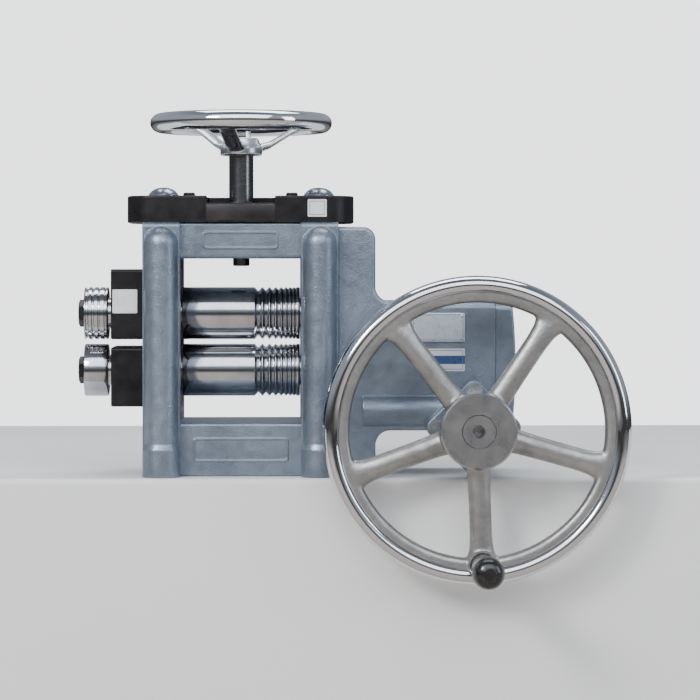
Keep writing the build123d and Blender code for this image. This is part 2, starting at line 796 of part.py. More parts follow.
with BuildPart() as plate_label:
    with BuildSketch(front_plane(-plate_size[1] / 2)):
        with Locations((plate_size[0] / 2 - 40.5, plate_z + plate_t / 2 + 1)):
            RectangleRounded(20.5, 19, 1)
    extrude(amount=0.5)
save(plate_label, "plate_label")

# ---- closing gear: top plate, screws, centre gear, handwheel ------------------------------------------------
with BuildPart() as top_plate:
    with BuildSketch(Plane.XY.offset(plate_z)):
        RectangleRounded(*plate_size, plate_corner)
    extrude(amount=plate_t)
    fillet(top_plate.faces().sort_by(Axis.Z)[-1].edges(), 2)
    with BuildSketch(Plane.XY.offset(plate_top)):
        with Locations((0, -plate_size[1] / 4 + 10)):
            RectangleRounded(pocket_w, plate_size[1] / 2 + 20, 3)
        with Locations((0, -plate_size[1] / 2)):
            Rectangle(pocket_w, 12)
    extrude(amount=-pocket_depth, mode=Mode.SUBTRACT)
    with BuildSketch(front_plane(-plate_size[1] / 2)):
        with Locations((0, plate_z + (plate_t - pocket_depth) / 2)):
            RectangleRounded(pocket_w, plate_t - pocket_depth - 3, 1.5)
    extrude(amount=1.4)
    with BuildSketch(Plane.XY.offset(plate_z)):
        Circle(centre_gear_r + gear_side_clear)
        with Locations((-screw_x, 0), (screw_x, 0)):
            Circle(screw_gear_r + gear_side_clear)
    extrude(amount=plate_t - plate_roof, mode=Mode.SUBTRACT)
    with BuildSketch(Plane.XY.offset(plate_z)):
        Circle(adjust_shaft_r + bush_wall)
        with Locations((-screw_x, 0), (screw_x, 0)):
            Circle(cap_r + 0.35)
        with Locations(*plate_screw_places):
            Circle(4)
    extrude(amount=plate_t, mode=Mode.SUBTRACT)
save(top_plate, "top_plate")

with BuildPart() as top_plate_screws:
    with BuildSketch(Plane.XY.offset(frame_h - plate_screw_depth + 1)):
        with Locations(*plate_screw_places):
            Circle(4)
    extrude(amount=plate_screw_depth - 1 + plate_t)
    with BuildSketch(Plane.XY.offset(plate_top)):
        with Locations(*plate_screw_places):
            Circle(6.5)
    extrude(amount=3.4)
    chamfer(top_plate_screws.edges().filter_by(GeomType.CIRCLE).group_by(Axis.Z)[-1], 1.2)
    with BuildSketch(Plane.XY.offset(plate_top + 3.4)):
        with Locations(*plate_screw_places):
            RegularPolygon(3.2, 6)
    extrude(amount=-2.4, mode=Mode.SUBTRACT)
save(top_plate_screws, "top_plate_screws")

bush_top = plate_top - pocket_depth + 3
with BuildPart() as adjuster_bush:
    with BuildSketch(Plane.XY.offset(plate_top - plate_roof)):
        Circle(adjust_shaft_r + bush_wall)
        Circle(adjust_shaft_r + bush_fit, mode=Mode.SUBTRACT)
    extrude(amount=bush_top - plate_top + plate_roof)
save(adjuster_bush, "adjuster_bush")


def top_gear(teeth, z, thickness, bore_r, centre_x, first_tooth):
    """A spur gear of the closing train, flat on its chamber floor at height z."""
    with BuildPart() as gear:
        with BuildSketch(Plane.XY.offset(z)):
            with BuildLine():
                Polyline(
                    *gear_outline(
                        teeth, top_module, top_module, 1.25 * top_module, 0.12, first_tooth, (centre_x, 0)
                    ),
                    close=True,
                )
            make_face()
            with Locations((centre_x, 0)):
                Circle(bore_r, mode=Mode.SUBTRACT)
        extrude(amount=thickness)
    return gear


save(top_gear(centre_teeth, plate_z + 1, centre_gear_t, adjust_shaft_r, 0, 0), "centre_gear")
screw_foot = upper_block_top + pad_t + 0.05
screw_head = screw_gear_z + screw_gear_t + 10
for side, hand, first_tooth in ((-1, "left", 0), (1, "right", 180 + 180 / screw_teeth)):
    gear = top_gear(screw_teeth, screw_gear_z, screw_gear_t, screw_r, side * screw_x, first_tooth)
    save(gear, f"screw_gear_{hand}")
    with BuildPart() as pressure_screw:
        with BuildSketch(Plane.XY.offset(screw_foot)):
            with Locations((side * screw_x, 0)):
                Circle(screw_r)
        extrude(amount=screw_head - screw_foot)
        chamfer(pressure_screw.edges().filter_by(GeomType.CIRCLE), 1)
    save(pressure_screw, f"pressure_screw_{hand}")
    with BuildPart() as screw_cap:
        with BuildSketch(Plane.XZ):
            with BuildLine():
                Polyline(
                    (cap_r, cap_top - 8.5),
                    (cap_r, screw_gear_z + screw_gear_t),
                    (screw_r, screw_gear_z + screw_gear_t),
                    (screw_r, screw_head),
                    (0, screw_head),
                    (0, cap_top),
                )
                ThreePointArc((0, cap_top), (cap_r * 0.62, cap_top - 1.9), (cap_r, cap_top - 8.5))
            make_face()
        revolve(axis=Axis.Z)
        with BuildSketch(Plane.XY.offset(cap_top)):
            Rectangle(2 * cap_r + 2, 3)
        extrude(amount=-3, mode=Mode.SUBTRACT)
    screw_cap.part = Pos(side * screw_x, 0, 0) * screw_cap.part
    save(screw_cap, f"screw_cap_{hand}")

tail_z = bridge_z - adjust_tail_out
with BuildPart() as adjuster_shaft:
    with BuildSketch(Plane.XZ):
        with BuildLine():
            Polyline(
                (0, tail_z),
                (adjust_tail_r - 1, tail_z),
                (adjust_tail_r, tail_z + 1),
                (adjust_tail_r, plate_z + 1),
                (adjust_shaft_r, plate_z + 1),
                (adjust_shaft_r, adjust_hub_z + 4),
                (11, adjust_hub_z + 4),
                (11, adjust_hub_z + adjust_hub_h - 2),
                (7, adjust_hub_z + adjust_hub_h - 2),
                (7, adjust_hub_z + adjust_hub_h + 7),
                (0, adjust_hub_z + adjust_hub_h + 7),
                close=True,
            )
        make_face()
    revolve(axis=Axis.Z)
save(adjuster_shaft, "adjuster_shaft")

rim_r = adjust_wheel_r - adjust_rim[0]
with BuildPart() as top_spoke:
    with BuildSketch(Plane.XZ):
        with BuildLine():
            Spline(
                (adjust_hub_r - 5, adjust_hub_z + 5),
                (34, adjust_hub_z + 8),
                (62, adjust_rim_z - 11),
                (rim_r - 3, adjust_rim_z - 6),
            )
            Line((rim_r - 3, adjust_rim_z - 6), (rim_r - 3, adjust_rim_z + 1))
            Spline(
                (rim_r - 3, adjust_rim_z + 1),
                (58, adjust_rim_z - 4),
                (30, adjust_hub_z + 15),
                (adjust_hub_r - 5, adjust_hub_z + 12),
            )
            Line((adjust_hub_r - 5, adjust_hub_z + 12), (adjust_hub_r - 5, adjust_hub_z + 5))
        make_face()
    extrude(amount=10, both=True)
    chamfer(top_spoke.faces().filter_by(Axis.Y).edges().filter_by(GeomType.BSPLINE), 1.2)

with BuildPart() as top_handwheel:
    with BuildSketch(Plane.XZ):
        with Locations((rim_r, adjust_rim_z)):
            Ellipse(*adjust_rim)
    revolve(axis=Axis.Z)
    with BuildSketch(Plane.XZ):
        with BuildLine():
            Polyline(
                (11, adjust_hub_z + 4),
                (adjust_shaft_r, adjust_hub_z + 4),
                (adjust_shaft_r, adjust_hub_z),
                (adjust_hub_r - 1.5, adjust_hub_z),
                (adjust_hub_r, adjust_hub_z + 1.5),
                (adjust_hub_r, adjust_hub_z + 9),
                (adjust_hub_r - 4, adjust_hub_z + adjust_hub_h),
                (11, adjust_hub_z + adjust_hub_h),
                close=True,
            )
        make_face()
    revolve(axis=Axis.Z)
    for angle in (-105, 15, 135):
        add(Rot(0, 0, angle) * top_spoke.part)
save(top_handwheel, "top_handwheel")

with BuildPart() as top_wheel_nut:
    with BuildSketch(Plane.XY.offset(adjust_hub_z + adjust_hub_h)):
        RegularPolygon(11, 6)
        Circle(7, mode=Mode.SUBTRACT)
    extrude(amount=7)
save(top_wheel_nut, "top_wheel_nut")


# ---- drive: gears, shafts, front handwheel and its handle ---------------------------------------------------
gear_front = -housing_front + housing_wall + 1.2
gear_back = gear_front + drive_gear_t


def drive_gear(teeth, plane, bore_r, first_tooth):
    """A spur gear of the drive, its front face on the given plane."""
    with BuildPart() as gear:
        with BuildSketch(plane):
            with BuildLine():
                Polyline(
                    *gear_outline(teeth, drive_module, drive_module, 1.25 * drive_module, 0.12, first_tooth),
                    close=True,
                )
            make_face()
            Circle(bore_r, mode=Mode.SUBTRACT)
        extrude(amount=-drive_gear_t)
    return gear


save(drive_gear(drive_pinion_teeth, drive_plane(gear_front), pinion_seat_r, 90), "drive_pinion")
idler_phase = -90 + 180 / idler_teeth
save(drive_gear(idler_teeth, idler_plane(gear_front), idler_shaft_r, idler_phase), "idler_gear")

with BuildPart() as drive_pinion_nut:
    with BuildSketch(drive_plane(gear_back)):
        Circle(19)
        Circle(nut_thread_r, mode=Mode.SUBTRACT)
    extrude(amount=-5)
save(drive_pinion_nut, "drive_pinion_nut")

key_size = (10.0, 8.0)
key_depth = 5.0
with BuildPart() as drive_shaft:
    for start, end, radius in (
        (-wheel_hub_front, -carrier_back + 14.5, drive_shaft_r),
        (-carrier_back + 14.5, gear_back, pinion_seat_r),
        (gear_back, gear_back + 6, nut_thread_r),
    ):
        with BuildSketch(drive_plane(start)):
            Circle(radius)
        extrude(amount=start - end)
    with BuildSketch(drive_plane(-wheel_hub_front)):
        Circle(6.3)
    extrude(amount=-30, mode=Mode.SUBTRACT)
    with BuildSketch(drive_plane(-wheel_hub_front)):
        with Locations((0, -drive_shaft_r)):
            Rectangle(key_size[0], 2 * key_depth)
    extrude(amount=-45, mode=Mode.SUBTRACT)
    chamfer(drive_shaft.faces().sort_by(Axis.Y)[0].edges().filter_by(GeomType.CIRCLE).sort_by(SortBy.RADIUS)[0], 0.8)
save(drive_shaft, "drive_shaft")

with BuildPart() as drive_key:
    with BuildSketch(drive_plane(-wheel_hub_front + 1)):
        with Locations((0, -drive_shaft_r + key_depth - key_size[1] / 2)):
            Rectangle(*key_size)
    extrude(amount=-44)
save(drive_key, "drive_key")

wheel_axis = Axis((drive_x, 0, drive_z), (0, 1, 0))
bead_centre_r = wheel_r - wheel_bead[0]
with BuildPart() as drive_handwheel:
    with BuildSketch(Plane.XY.offset(drive_z)):
        with Locations((drive_x + bead_centre_r, wheel_rim_y)):
            Ellipse(*wheel_bead)
        with Locations((drive_x + (wheel_web_r + bead_centre_r) / 2, wheel_rim_y)):
            RectangleRounded(bead_centre_r - wheel_web_r, wheel_web_t, 5)
    revolve(axis=wheel_axis)
    with BuildSketch(Plane.XY.offset(drive_z)):
        with BuildLine():
            Polyline(
                (drive_x, -wheel_hub_front),
                (drive_x + wheel_hub_r - 1.5, -wheel_hub_front),
                (drive_x + wheel_hub_r, -wheel_hub_front + 1.5),
                (drive_x + wheel_hub_r, wheel_rim_y - 6),
                (drive_x + wheel_hub_r - 3, wheel_rim_y + 8),
                (drive_x + wheel_hub_r - 7, -wheel_hub_back),
                (drive_x, -wheel_hub_back),
                close=True,
            )
        make_face()
    revolve(axis=wheel_axis)
    sections = []
    wide, deep = spoke_size[0] / 2, spoke_size[1] / 2
    spoke_sections = (
        (wheel_hub_r - 10, (wide + 4, deep + 2)),
        (wheel_hub_r + 12, (wide + 0.8, deep + 0.3)),
        (wheel_web_r - 28, (wide, deep)),
        (wheel_web_r - 10, (wide + 2, deep - 0.4)),
        (wheel_web_r + 6, (wide + 10, deep - 1)),
    )
    for reach, half in spoke_sections:
        with BuildSketch(Plane(origin=(reach, 0, 0), z_dir=(1, 0, 0), x_dir=(0, 0, 1)), mode=Mode.PRIVATE) as cut:
            Ellipse(*half)
        sections.append(cut.sketch)
    spoke = loft(sections, mode=Mode.PRIVATE)
    for n in range(spoke_count):
        add(Pos(drive_x, wheel_rim_y, drive_z) * Rot(0, -(spoke_angle + 360 * n / spoke_count), 0) * spoke)
    with BuildSketch(front_plane(wheel_rim_y - 14, handle_x, handle_z)):
        Circle(14)
    extrude(amount=-26)
    with BuildSketch(front_plane(wheel_rim_y - 14, handle_x, handle_z)):
        Circle(7)
    extrude(amount=-26, mode=Mode.SUBTRACT)
    with BuildSketch(drive_plane(-wheel_hub_front)):
        Circle(drive_shaft_r)
    extrude(amount=-(wheel_hub_front - wheel_hub_back), mode=Mode.SUBTRACT)
    with BuildSketch(drive_plane(-wheel_hub_front)):
        with Locations((0, -drive_shaft_r + key_depth - key_size[1] / 2)):
            Rectangle(*key_size)
    extrude(amount=-45, mode=Mode.SUBTRACT)
save(drive_handwheel, "drive_handwheel")

grip_back = wheel_rim_y - 15
grip_front = grip_back - handle_length
with BuildPart() as handle_spindle:
    for start, end, radius in (
        (wheel_rim_y + 12, wheel_rim_y - 14, 7),
        (wheel_rim_y - 14, grip_front + 12, 5),
        (grip_front + 12, grip_front + 6, 7.5),
    ):
        with BuildSketch(front_plane(start, handle_x, handle_z)):
            Circle(radius)
        extrude(amount=start - end)
save(handle_spindle, "handle_spindle")

handle_axis = Axis((handle_x, 0, handle_z), (0, 1, 0))
with BuildPart() as handle_grip:
    with BuildSketch(Plane.XY.offset(handle_z)):
        with BuildLine():
            Spline(
                (handle_x + 13.5, grip_back),
                (handle_x + 13, grip_back - 12),
                (handle_x + 15.5, grip_back - 45),
                (handle_x + handle_r, grip_front + 26),
                (handle_x + 14.5, grip_front + 5),
                (handle_x + 9, grip_front),
            )
            Polyline(
                (handle_x + 9, grip_front),
                (handle_x + 7.8, grip_front),
                (handle_x + 7.8, grip_front + 12.3),
                (handle_x + 5.06, grip_front + 12.3),
                (handle_x + 5.06, grip_back),
                (handle_x + 13.5, grip_back),
            )
        make_face()
    revolve(axis=handle_axis)
save(handle_grip, "handle_grip")

with BuildPart() as handle_end_plug:
    with BuildSketch(front_plane(grip_front + 5, handle_x, handle_z)):
        Circle(7.8)
    extrude(amount=6)
    fillet(handle_end_plug.faces().sort_by(Axis.Y)[0].edges(), 1.5)
save(handle_end_plug, "handle_end_plug")

with BuildPart() as idler_shaft:
    for start, end, radius in (
        (-housing_front + 1.8, -housing_front + housing_wall + 0.2, idler_journal_r),
        (-housing_front + housing_wall + 0.2, housing_front - housing_wall - 0.4, idler_shaft_r),
        (housing_front - housing_wall - 0.4, housing_front - 0.5, idler_journal_r),
    ):
        with BuildSketch(idler_plane(start)):
            Circle(radius)
        extrude(amount=start - end)
save(idler_shaft, "idler_shaft")


def bevel_gear(teeth, mate_teeth, first_tooth, blank, plane_at):
    """A straight bevel gear: a blank turned about its axis, cut by teeth that all run to the shafts' crossing."""
    reach = bevel_module * mate_teeth / 2
    with BuildPart() as gear:
        for distance in (blank[2], blank[1]):
            with BuildSketch(plane_at(distance)):
                with BuildLine():
                    Polyline(
                        *bevel_outline(teeth, bevel_module, mate_teeth, 0.14, first_tooth, distance / reach),
                        close=True,
                    )
                make_face()
        loft()
        add(blank[0], mode=Mode.INTERSECT)
    return gear


def crown_plane(distance):
    return Plane(origin=(drive_x - distance, 0, lower_axis_z), x_dir=(0, 1, 0), z_dir=(1, 0, 0))


def pinion_plane(distance):
    return idler_plane(-distance)


face_share = 0.72
flank = hypot(crown_pitch_r, bevel_pinion_pitch_r)


def cone_corner(pitch_r, reach, share, height):
    """Distance along the axis and radius of a point a height off the pitch cone, at share of its length."""
    long_side, short_side = pitch_r / flank, reach / flank
    return (share * reach - height * long_side, share * pitch_r + height * short_side)


crown_tip = cone_corner(crown_pitch_r, bevel_pinion_pitch_r, 1, bevel_module)
crown_root = cone_corner(crown_pitch_r, bevel_pinion_pitch_r, 1, -9.6)
crown_inner = cone_corner(crown_pitch_r, bevel_pinion_pitch_r, face_share, bevel_module * face_share)
crown_inner_root = cone_corner(crown_pitch_r, bevel_pinion_pitch_r, face_share, -7.4)
crown_face = bevel_pinion_pitch_r + 2
with BuildPart() as crown_blank:
    with BuildSketch(Plane(origin=(drive_x, 0, lower_axis_z), x_dir=(-1, 0, 0), z_dir=(0, 1, 0))):
        with BuildLine():
            Polyline(
                (crown_face, gear_seat_r),
                (crown_face, crown_inner_root[1]),
                crown_inner,
                crown_tip,
                crown_root,
                (crown_root[0], 30),
                (crown_face + 16, 26),
                (crown_face + 16, gear_seat_r),
                close=True,
            )
        make_face()
    revolve(axis=axis_x(lower_axis_z))
save(
    bevel_gear(
        crown_teeth,
        bevel_pinion_teeth,
        180 + 180 / crown_teeth,
        (crown_blank.part, crown_inner[0] - 1, crown_face + 17),
        crown_plane,
    ),
    "bevel_wheel",
)

pinion_tip = cone_corner(bevel_pinion_pitch_r, crown_pitch_r, 1, bevel_module)
pinion_root = cone_corner(bevel_pinion_pitch_r, crown_pitch_r, 1, -4.6)
pinion_inner = cone_corner(bevel_pinion_pitch_r, crown_pitch_r, face_share, bevel_module * face_share)
pinion_inner_root = cone_corner(bevel_pinion_pitch_r, crown_pitch_r, face_share, -3.2)
with BuildPart() as pinion_blank:
    with BuildSketch(Plane(origin=(drive_x, 0, lower_axis_z), x_dir=(0, -1, 0), z_dir=(-1, 0, 0))):
        with BuildLine():
            Polyline(
                (-gear_back, idler_shaft_r),
                (-gear_back, pinion_root[1]),
                pinion_root,
                pinion_tip,
                pinion_inner,
                pinion_inner_root,
                (pinion_inner_root[0], idler_shaft_r),
                close=True,
            )
        make_face()
    revolve(axis=Axis((drive_x, 0, lower_axis_z), (0, 1, 0)))
save(
    bevel_gear(
        bevel_pinion_teeth,
        crown_teeth,
        180,
        (pinion_blank.part, pinion_inner[0] - 1, -gear_back + 1),
        pinion_plane,
    ),
    "bevel_pinion",
)

with BuildPart() as bevel_wheel_screw:
    for start, depth, radius in ((crown_nut_x, 2.5, 20), (crown_nut_x + 2.5, 5, 7)):
        with BuildSketch(Plane.YZ.offset(start)):
            with Locations((0, lower_axis_z)):
                Circle(radius)
        extrude(amount=depth)
save(bevel_wheel_screw, "bevel_wheel_screw")
print(len(saved), "pieces")
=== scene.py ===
"""The finished look of a bench-top rolling press: turned and cast pieces, paint, polished steel and chrome."""

import logging
import math
from dataclasses import dataclass, field
from enum import Enum
from typing import Sequence

import bpy
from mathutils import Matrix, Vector

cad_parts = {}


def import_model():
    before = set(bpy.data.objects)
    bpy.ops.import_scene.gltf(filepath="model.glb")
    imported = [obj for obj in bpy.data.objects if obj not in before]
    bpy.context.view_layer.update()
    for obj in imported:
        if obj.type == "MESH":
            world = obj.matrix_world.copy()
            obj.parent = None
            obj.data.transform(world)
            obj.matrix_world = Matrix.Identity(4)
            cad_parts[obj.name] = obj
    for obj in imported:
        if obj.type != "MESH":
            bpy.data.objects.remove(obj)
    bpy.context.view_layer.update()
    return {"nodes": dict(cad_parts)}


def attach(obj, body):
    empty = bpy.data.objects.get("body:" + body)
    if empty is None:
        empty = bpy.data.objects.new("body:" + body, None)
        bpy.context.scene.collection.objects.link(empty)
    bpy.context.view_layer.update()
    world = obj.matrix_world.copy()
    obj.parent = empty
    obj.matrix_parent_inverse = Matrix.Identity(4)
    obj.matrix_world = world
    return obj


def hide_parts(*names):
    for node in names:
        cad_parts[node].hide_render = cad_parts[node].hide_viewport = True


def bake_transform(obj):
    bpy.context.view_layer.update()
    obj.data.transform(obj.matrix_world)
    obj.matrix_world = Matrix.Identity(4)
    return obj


logging.basicConfig(level=logging.INFO, format="%(message)s")
log = logging.getLogger("press")
MM = 0.001
Point = tuple[float, float, float]
Colour = tuple[float, float, float]


class Turning(Enum):
    """The axis that a turned piece or its finish runs round."""

    ACROSS = 0
    DEEP = 1
    UPRIGHT = 2


# ---- finishes -----------------------------------------------------------------------------------------------
class Shade:
    """A material under construction, with short ways to add and join its nodes."""

    def __init__(self, name: str) -> None:
        """Starts a node material with a Principled surface."""
        self.material = bpy.data.materials.new(name)
        self.material.use_nodes = True
        self.tree = self.material.node_tree
        self.surface = self.tree.nodes["Principled BSDF"]
        self.place = self.add("ShaderNodeTexCoord").outputs["Object"]

    def add(self, kind: str, **settings: object) -> bpy.types.Node:
        """Adds a node.

        Args:
            kind: the node's Blender class name.
            settings: attributes to set on it.

        Returns:
            The new node.
        """
        node = self.tree.nodes.new(kind)
        for key, value in settings.items():
            setattr(node, key, value)
        return node

    def join(self, source: bpy.types.NodeSocket, target: bpy.types.NodeSocket) -> None:
        """Links an output to an input."""
        self.tree.links.new(source, target)

    def stretched(self, scale: Point, offset: Point = (0.0, 0.0, 0.0)) -> bpy.types.NodeSocket:
        """Object coordinates scaled along each axis about a point.

        Args:
            scale: the factor for each axis.
            offset: the point, in metres, that becomes the pattern's centre.

        Returns:
            The mapped vector.
        """
        node = self.add("ShaderNodeMapping")
        node.inputs["Scale"].default_value = scale
        node.inputs["Location"].default_value = tuple(-o * s for o, s in zip(offset, scale))
        self.join(self.place, node.inputs["Vector"])
        return node.outputs["Vector"]

    def noise(
        self, scale: float, detail: float = 3.0, rough: float = 0.5, vector: bpy.types.NodeSocket | None = None
    ) -> bpy.types.NodeSocket:
        """A cloudy pattern.

        Args:
            scale: cycles per metre.
            detail: octaves of finer detail.
            rough: how strong the finer octaves are.
            vector: coordinates to use in place of the object's own.

        Returns:
            The pattern's value.
        """
        node = self.add("ShaderNodeTexNoise")
        node.inputs["Scale"].default_value = scale
        node.inputs["Detail"].default_value = detail
        node.inputs["Roughness"].default_value = rough
        self.join(vector or self.place, node.inputs["Vector"])
        return node.outputs["Fac"]

    def span(
        self, value: bpy.types.NodeSocket, low: float, high: float, to: tuple[float, float]
    ) -> bpy.types.NodeSocket:
        """Maps a value from one range to another, clamped.

        Args:
            value: what is mapped.
            low: where the first range starts.
            high: where it ends.
            to: the start and end of the range it is mapped to.

        Returns:
            The mapped value.
        """
        node = self.add("ShaderNodeMapRange")
        for name, number in (("From Min", low), ("From Max", high), ("To Min", to[0]), ("To Max", to[1])):
            node.inputs[name].default_value = number
        self.join(value, node.inputs["Value"])
        return node.outputs["Result"]

    def mix(self, share: bpy.types.NodeSocket, first: object, second: object) -> bpy.types.NodeSocket:
        """Mixes two colours by a share.

        Args:
            share: nought for the first colour, one for the second.
            first: a colour or an output.
            second: a colour or an output.

        Returns:
            The mixed colour.
        """
        node = self.add("ShaderNodeMix", data_type="RGBA")
        self.join(share, node.inputs[0])
        for socket, value in ((node.inputs[6], first), (node.inputs[7], second)):
            if isinstance(value, tuple):
                socket.default_value = (*value, 1.0)
            else:
                self.join(value, socket)
        return node.outputs[2]

    def maths(self, what: str, first: object, second: object = 0.0) -> bpy.types.NodeSocket:
        """One step of arithmetic on two values.

        Args:
            what: the operation's name.
            first: a number or an output.
            second: a number or an output.

        Returns:
            The result.
        """
        node = self.add("ShaderNodeMath", operation=what)
        for socket, value in zip(node.inputs, (first, second)):
            if isinstance(value, (int, float)):
                socket.default_value = value
            else:
                self.join(value, socket)
        return node.outputs[0]

    def bump(
        self, height: bpy.types.NodeSocket, depth: float, after: bpy.types.NodeSocket | None = None
    ) -> bpy.types.NodeSocket:
        """A raised pattern of a real depth.

        Args:
            height: the pattern.
            depth: its depth in metres.
            after: a normal to start from.

        Returns:
            The shaded normal.
        """
        node = self.add("ShaderNodeBump")
        node.inputs["Distance"].default_value = depth
        self.join(height, node.inputs["Height"])
        if after is not None:
            self.join(after, node.inputs["Normal"])
        return node.outputs["Normal"]

    def soft_edges(self, radius: float) -> bpy.types.NodeSocket:
        """Rounds each edge as casting or tumbling does.

        Args:
            radius: the rounding in metres.

        Returns:
            The shaded normal.
        """
        node = self.add("ShaderNodeBevel", samples=6)
        node.inputs["Radius"].default_value = radius
        return node.outputs["Normal"]

    def worn_edges(self, radius: float) -> bpy.types.NodeSocket:
        """Finds sharp edges from how far rounding turns the surface there.

        Args:
            radius: how wide an edge counts, in metres.

        Returns:
            One at a sharp edge and nought on the flats.
        """
        bevel = self.add("ShaderNodeBevel", samples=6)
        bevel.inputs["Radius"].default_value = radius
        flat = self.add("ShaderNodeNewGeometry").outputs["Normal"]
        turn = self.add("ShaderNodeVectorMath", operation="DOT_PRODUCT")
        self.join(bevel.outputs["Normal"], turn.inputs[0])
        self.join(flat, turn.inputs[1])
        return self.span(turn.outputs["Value"], 0.995, 0.86, (0.0, 1.0))

    def colour(self, value: object) -> None:
        """Sets the base colour to a colour or an output."""
        self.feed("Base Color", value)

    def feed(self, name: str, value: object) -> None:
        """Sets or links one of the surface's inputs.

        Args:
            name: the input's name.
            value: a colour, a number or an output.
        """
        socket = self.surface.inputs[name]
        if isinstance(value, tuple):
            socket.default_value = (*value, 1.0)
        elif isinstance(value, (int, float)):
            socket.default_value = value
        else:
            self.join(value, socket)


@dataclass(frozen=True)
class CastPaint:
    """Silver-grey enamel on a sand casting: a fine pebble, soft edges and lighter rubbed edges."""

    name: str = "silver_enamel"
    light: Colour = (0.25, 0.3, 0.372)
    dark: Colour = (0.13, 0.162, 0.212)
    pebble: float = 700.0

    def make(self) -> bpy.types.Material:
        """Builds the material.

        Returns:
            The finished material.
        """
        s = Shade(self.name)
        clouds = s.noise(16, 4, 0.6)
        flakes = s.noise(1500, 2, 0.7)
        body = s.mix(s.span(clouds, 0.3, 0.72, (0.0, 1.0)), self.dark, self.light)
        sparkle = s.mix(s.span(flakes, 0.42, 0.68, (0.0, 0.55)), body, (0.36, 0.42, 0.5))
        rubbed = s.maths("MULTIPLY", s.worn_edges(0.0012), s.span(s.noise(55, 4, 0.7), 0.45, 0.62, (0.0, 0.55)))
        s.colour(s.mix(rubbed, sparkle, (0.4, 0.45, 0.5)))
        s.feed("Metallic", 0.72)
        s.feed("Roughness", s.span(s.noise(90, 3), 0.3, 0.7, (0.31, 0.46)))
        s.feed("Coat Weight", 0.14)
        s.feed("Coat Roughness", 0.22)
        cells = s.add("ShaderNodeTexVoronoi", feature="SMOOTH_F1")
        cells.inputs["Scale"].default_value = self.pebble
        s.join(s.place, cells.inputs["Vector"])
        rough_cast = s.bump(s.noise(120, 3, 0.55), 0.0003, s.soft_edges(0.0022))
        s.feed("Normal", s.bump(cells.outputs["Distance"], 0.0002, rough_cast))
        return s.material


@dataclass(frozen=True)
class BlackOxide:
    """Blackened steel: near black with a faint brown bloom, brighter where edges have been handled."""

    name: str = "blackened_steel"
    grain: Turning = Turning.ACROSS
    tone: Colour = (0.011, 0.011, 0.014)

    def make(self) -> bpy.types.Material:
        """Builds the material.

        Returns:
            The finished material.
        """
        s = Shade(self.name)
        lines = [900.0, 900.0, 900.0]
        lines[self.grain.value] = 14.0
        milled = s.noise(1.0, 3, 0.6, s.stretched(tuple(lines)))
        bloom = s.mix(s.span(s.noise(24, 4, 0.6), 0.35, 0.75, (0.0, 1.0)), self.tone, (0.024, 0.021, 0.022))
        wear = s.maths("MULTIPLY", s.worn_edges(0.0009), s.span(s.noise(60, 4, 0.7), 0.4, 0.62, (0.1, 0.8)))
        s.colour(s.mix(wear, bloom, (0.17, 0.17, 0.18)))
        s.feed("Metallic", 0.5)
        s.feed("Roughness", s.span(s.noise(70, 4), 0.3, 0.7, (0.3, 0.46)))
        s.feed("Normal", s.bump(milled, 0.00007, s.soft_edges(0.0009)))
        return s.material


@dataclass(frozen=True)
class TurnedSteel:
    """Steel finished on a lathe or grinder, with fine rings round its axis."""

    name: str
    turning: Turning
    centre: Point
    tone: Colour = (0.52, 0.53, 0.56)
    shine: tuple[float, float] = (0.16, 0.26)
    ring_depth: float = 0.00002
    rings: float = 2600.0

    def make(self) -> bpy.types.Material:
        """Builds the material.

        Returns:
            The finished material.
        """
        s = Shade(self.name)
        along = [60.0, 60.0, 60.0]
        along[self.turning.value] = self.rings
        lay = s.noise(1.0, 2, 0.6, s.stretched(tuple(along), self.centre))
        handled = s.noise(30, 5, 0.62)
        dull = tuple(c * 0.72 for c in self.tone)
        s.colour(s.mix(s.span(handled, 0.35, 0.72, (0.0, 1.0)), self.tone, dull))
        s.feed("Metallic", 1.0)
        s.feed("Roughness", s.span(s.maths("ADD", lay, handled), 0.6, 1.4, self.shine))
        s.feed("Normal", s.bump(lay, self.ring_depth))
        return s.material


@dataclass(frozen=True)
class MirrorPlate:
    """Bright chrome plate, with faint polishing swirls and finger haze."""

    name: str = "bright_chrome"
    tone: Colour = (0.74, 0.75, 0.78)
    shine: tuple[float, float] = (0.045, 0.15)

    def make(self) -> bpy.types.Material:
        """Builds the material.

        Returns:
            The finished material.
        """
        s = Shade(self.name)
        haze = s.noise(38, 5, 0.65)
        s.colour(s.mix(s.span(haze, 0.4, 0.8, (0.0, 0.5)), self.tone, (0.6, 0.6, 0.62)))
        s.feed("Metallic", 1.0)
        s.feed("Roughness", s.span(haze, 0.4, 0.75, self.shine))
        s.feed("Normal", s.bump(s.noise(26, 2), 0.00022))
        return s.material


@dataclass(frozen=True)
class SandCast:
    """Bare cast alloy, scratch-brushed: warm grey, grainy and dull."""

    name: str = "brushed_casting"
    light: Colour = (0.42, 0.415, 0.41)
    dark: Colour = (0.25, 0.245, 0.24)

    def make(self) -> bpy.types.Material:
        """Builds the material.

        Returns:
            The finished material.
        """
        s = Shade(self.name)
        stains = s.noise(34, 5, 0.65)
        grain = s.noise(900, 3, 0.7)
        s.colour(s.mix(s.span(stains, 0.32, 0.7, (0.0, 1.0)), self.light, self.dark))
        s.feed("Metallic", 0.9)
        s.feed("Roughness", s.span(s.maths("ADD", grain, stains), 0.7, 1.3, (0.3, 0.5)))
        s.feed("Normal", s.bump(grain, 0.00012, s.bump(s.noise(70, 4, 0.6), 0.0007)))
        return s.material


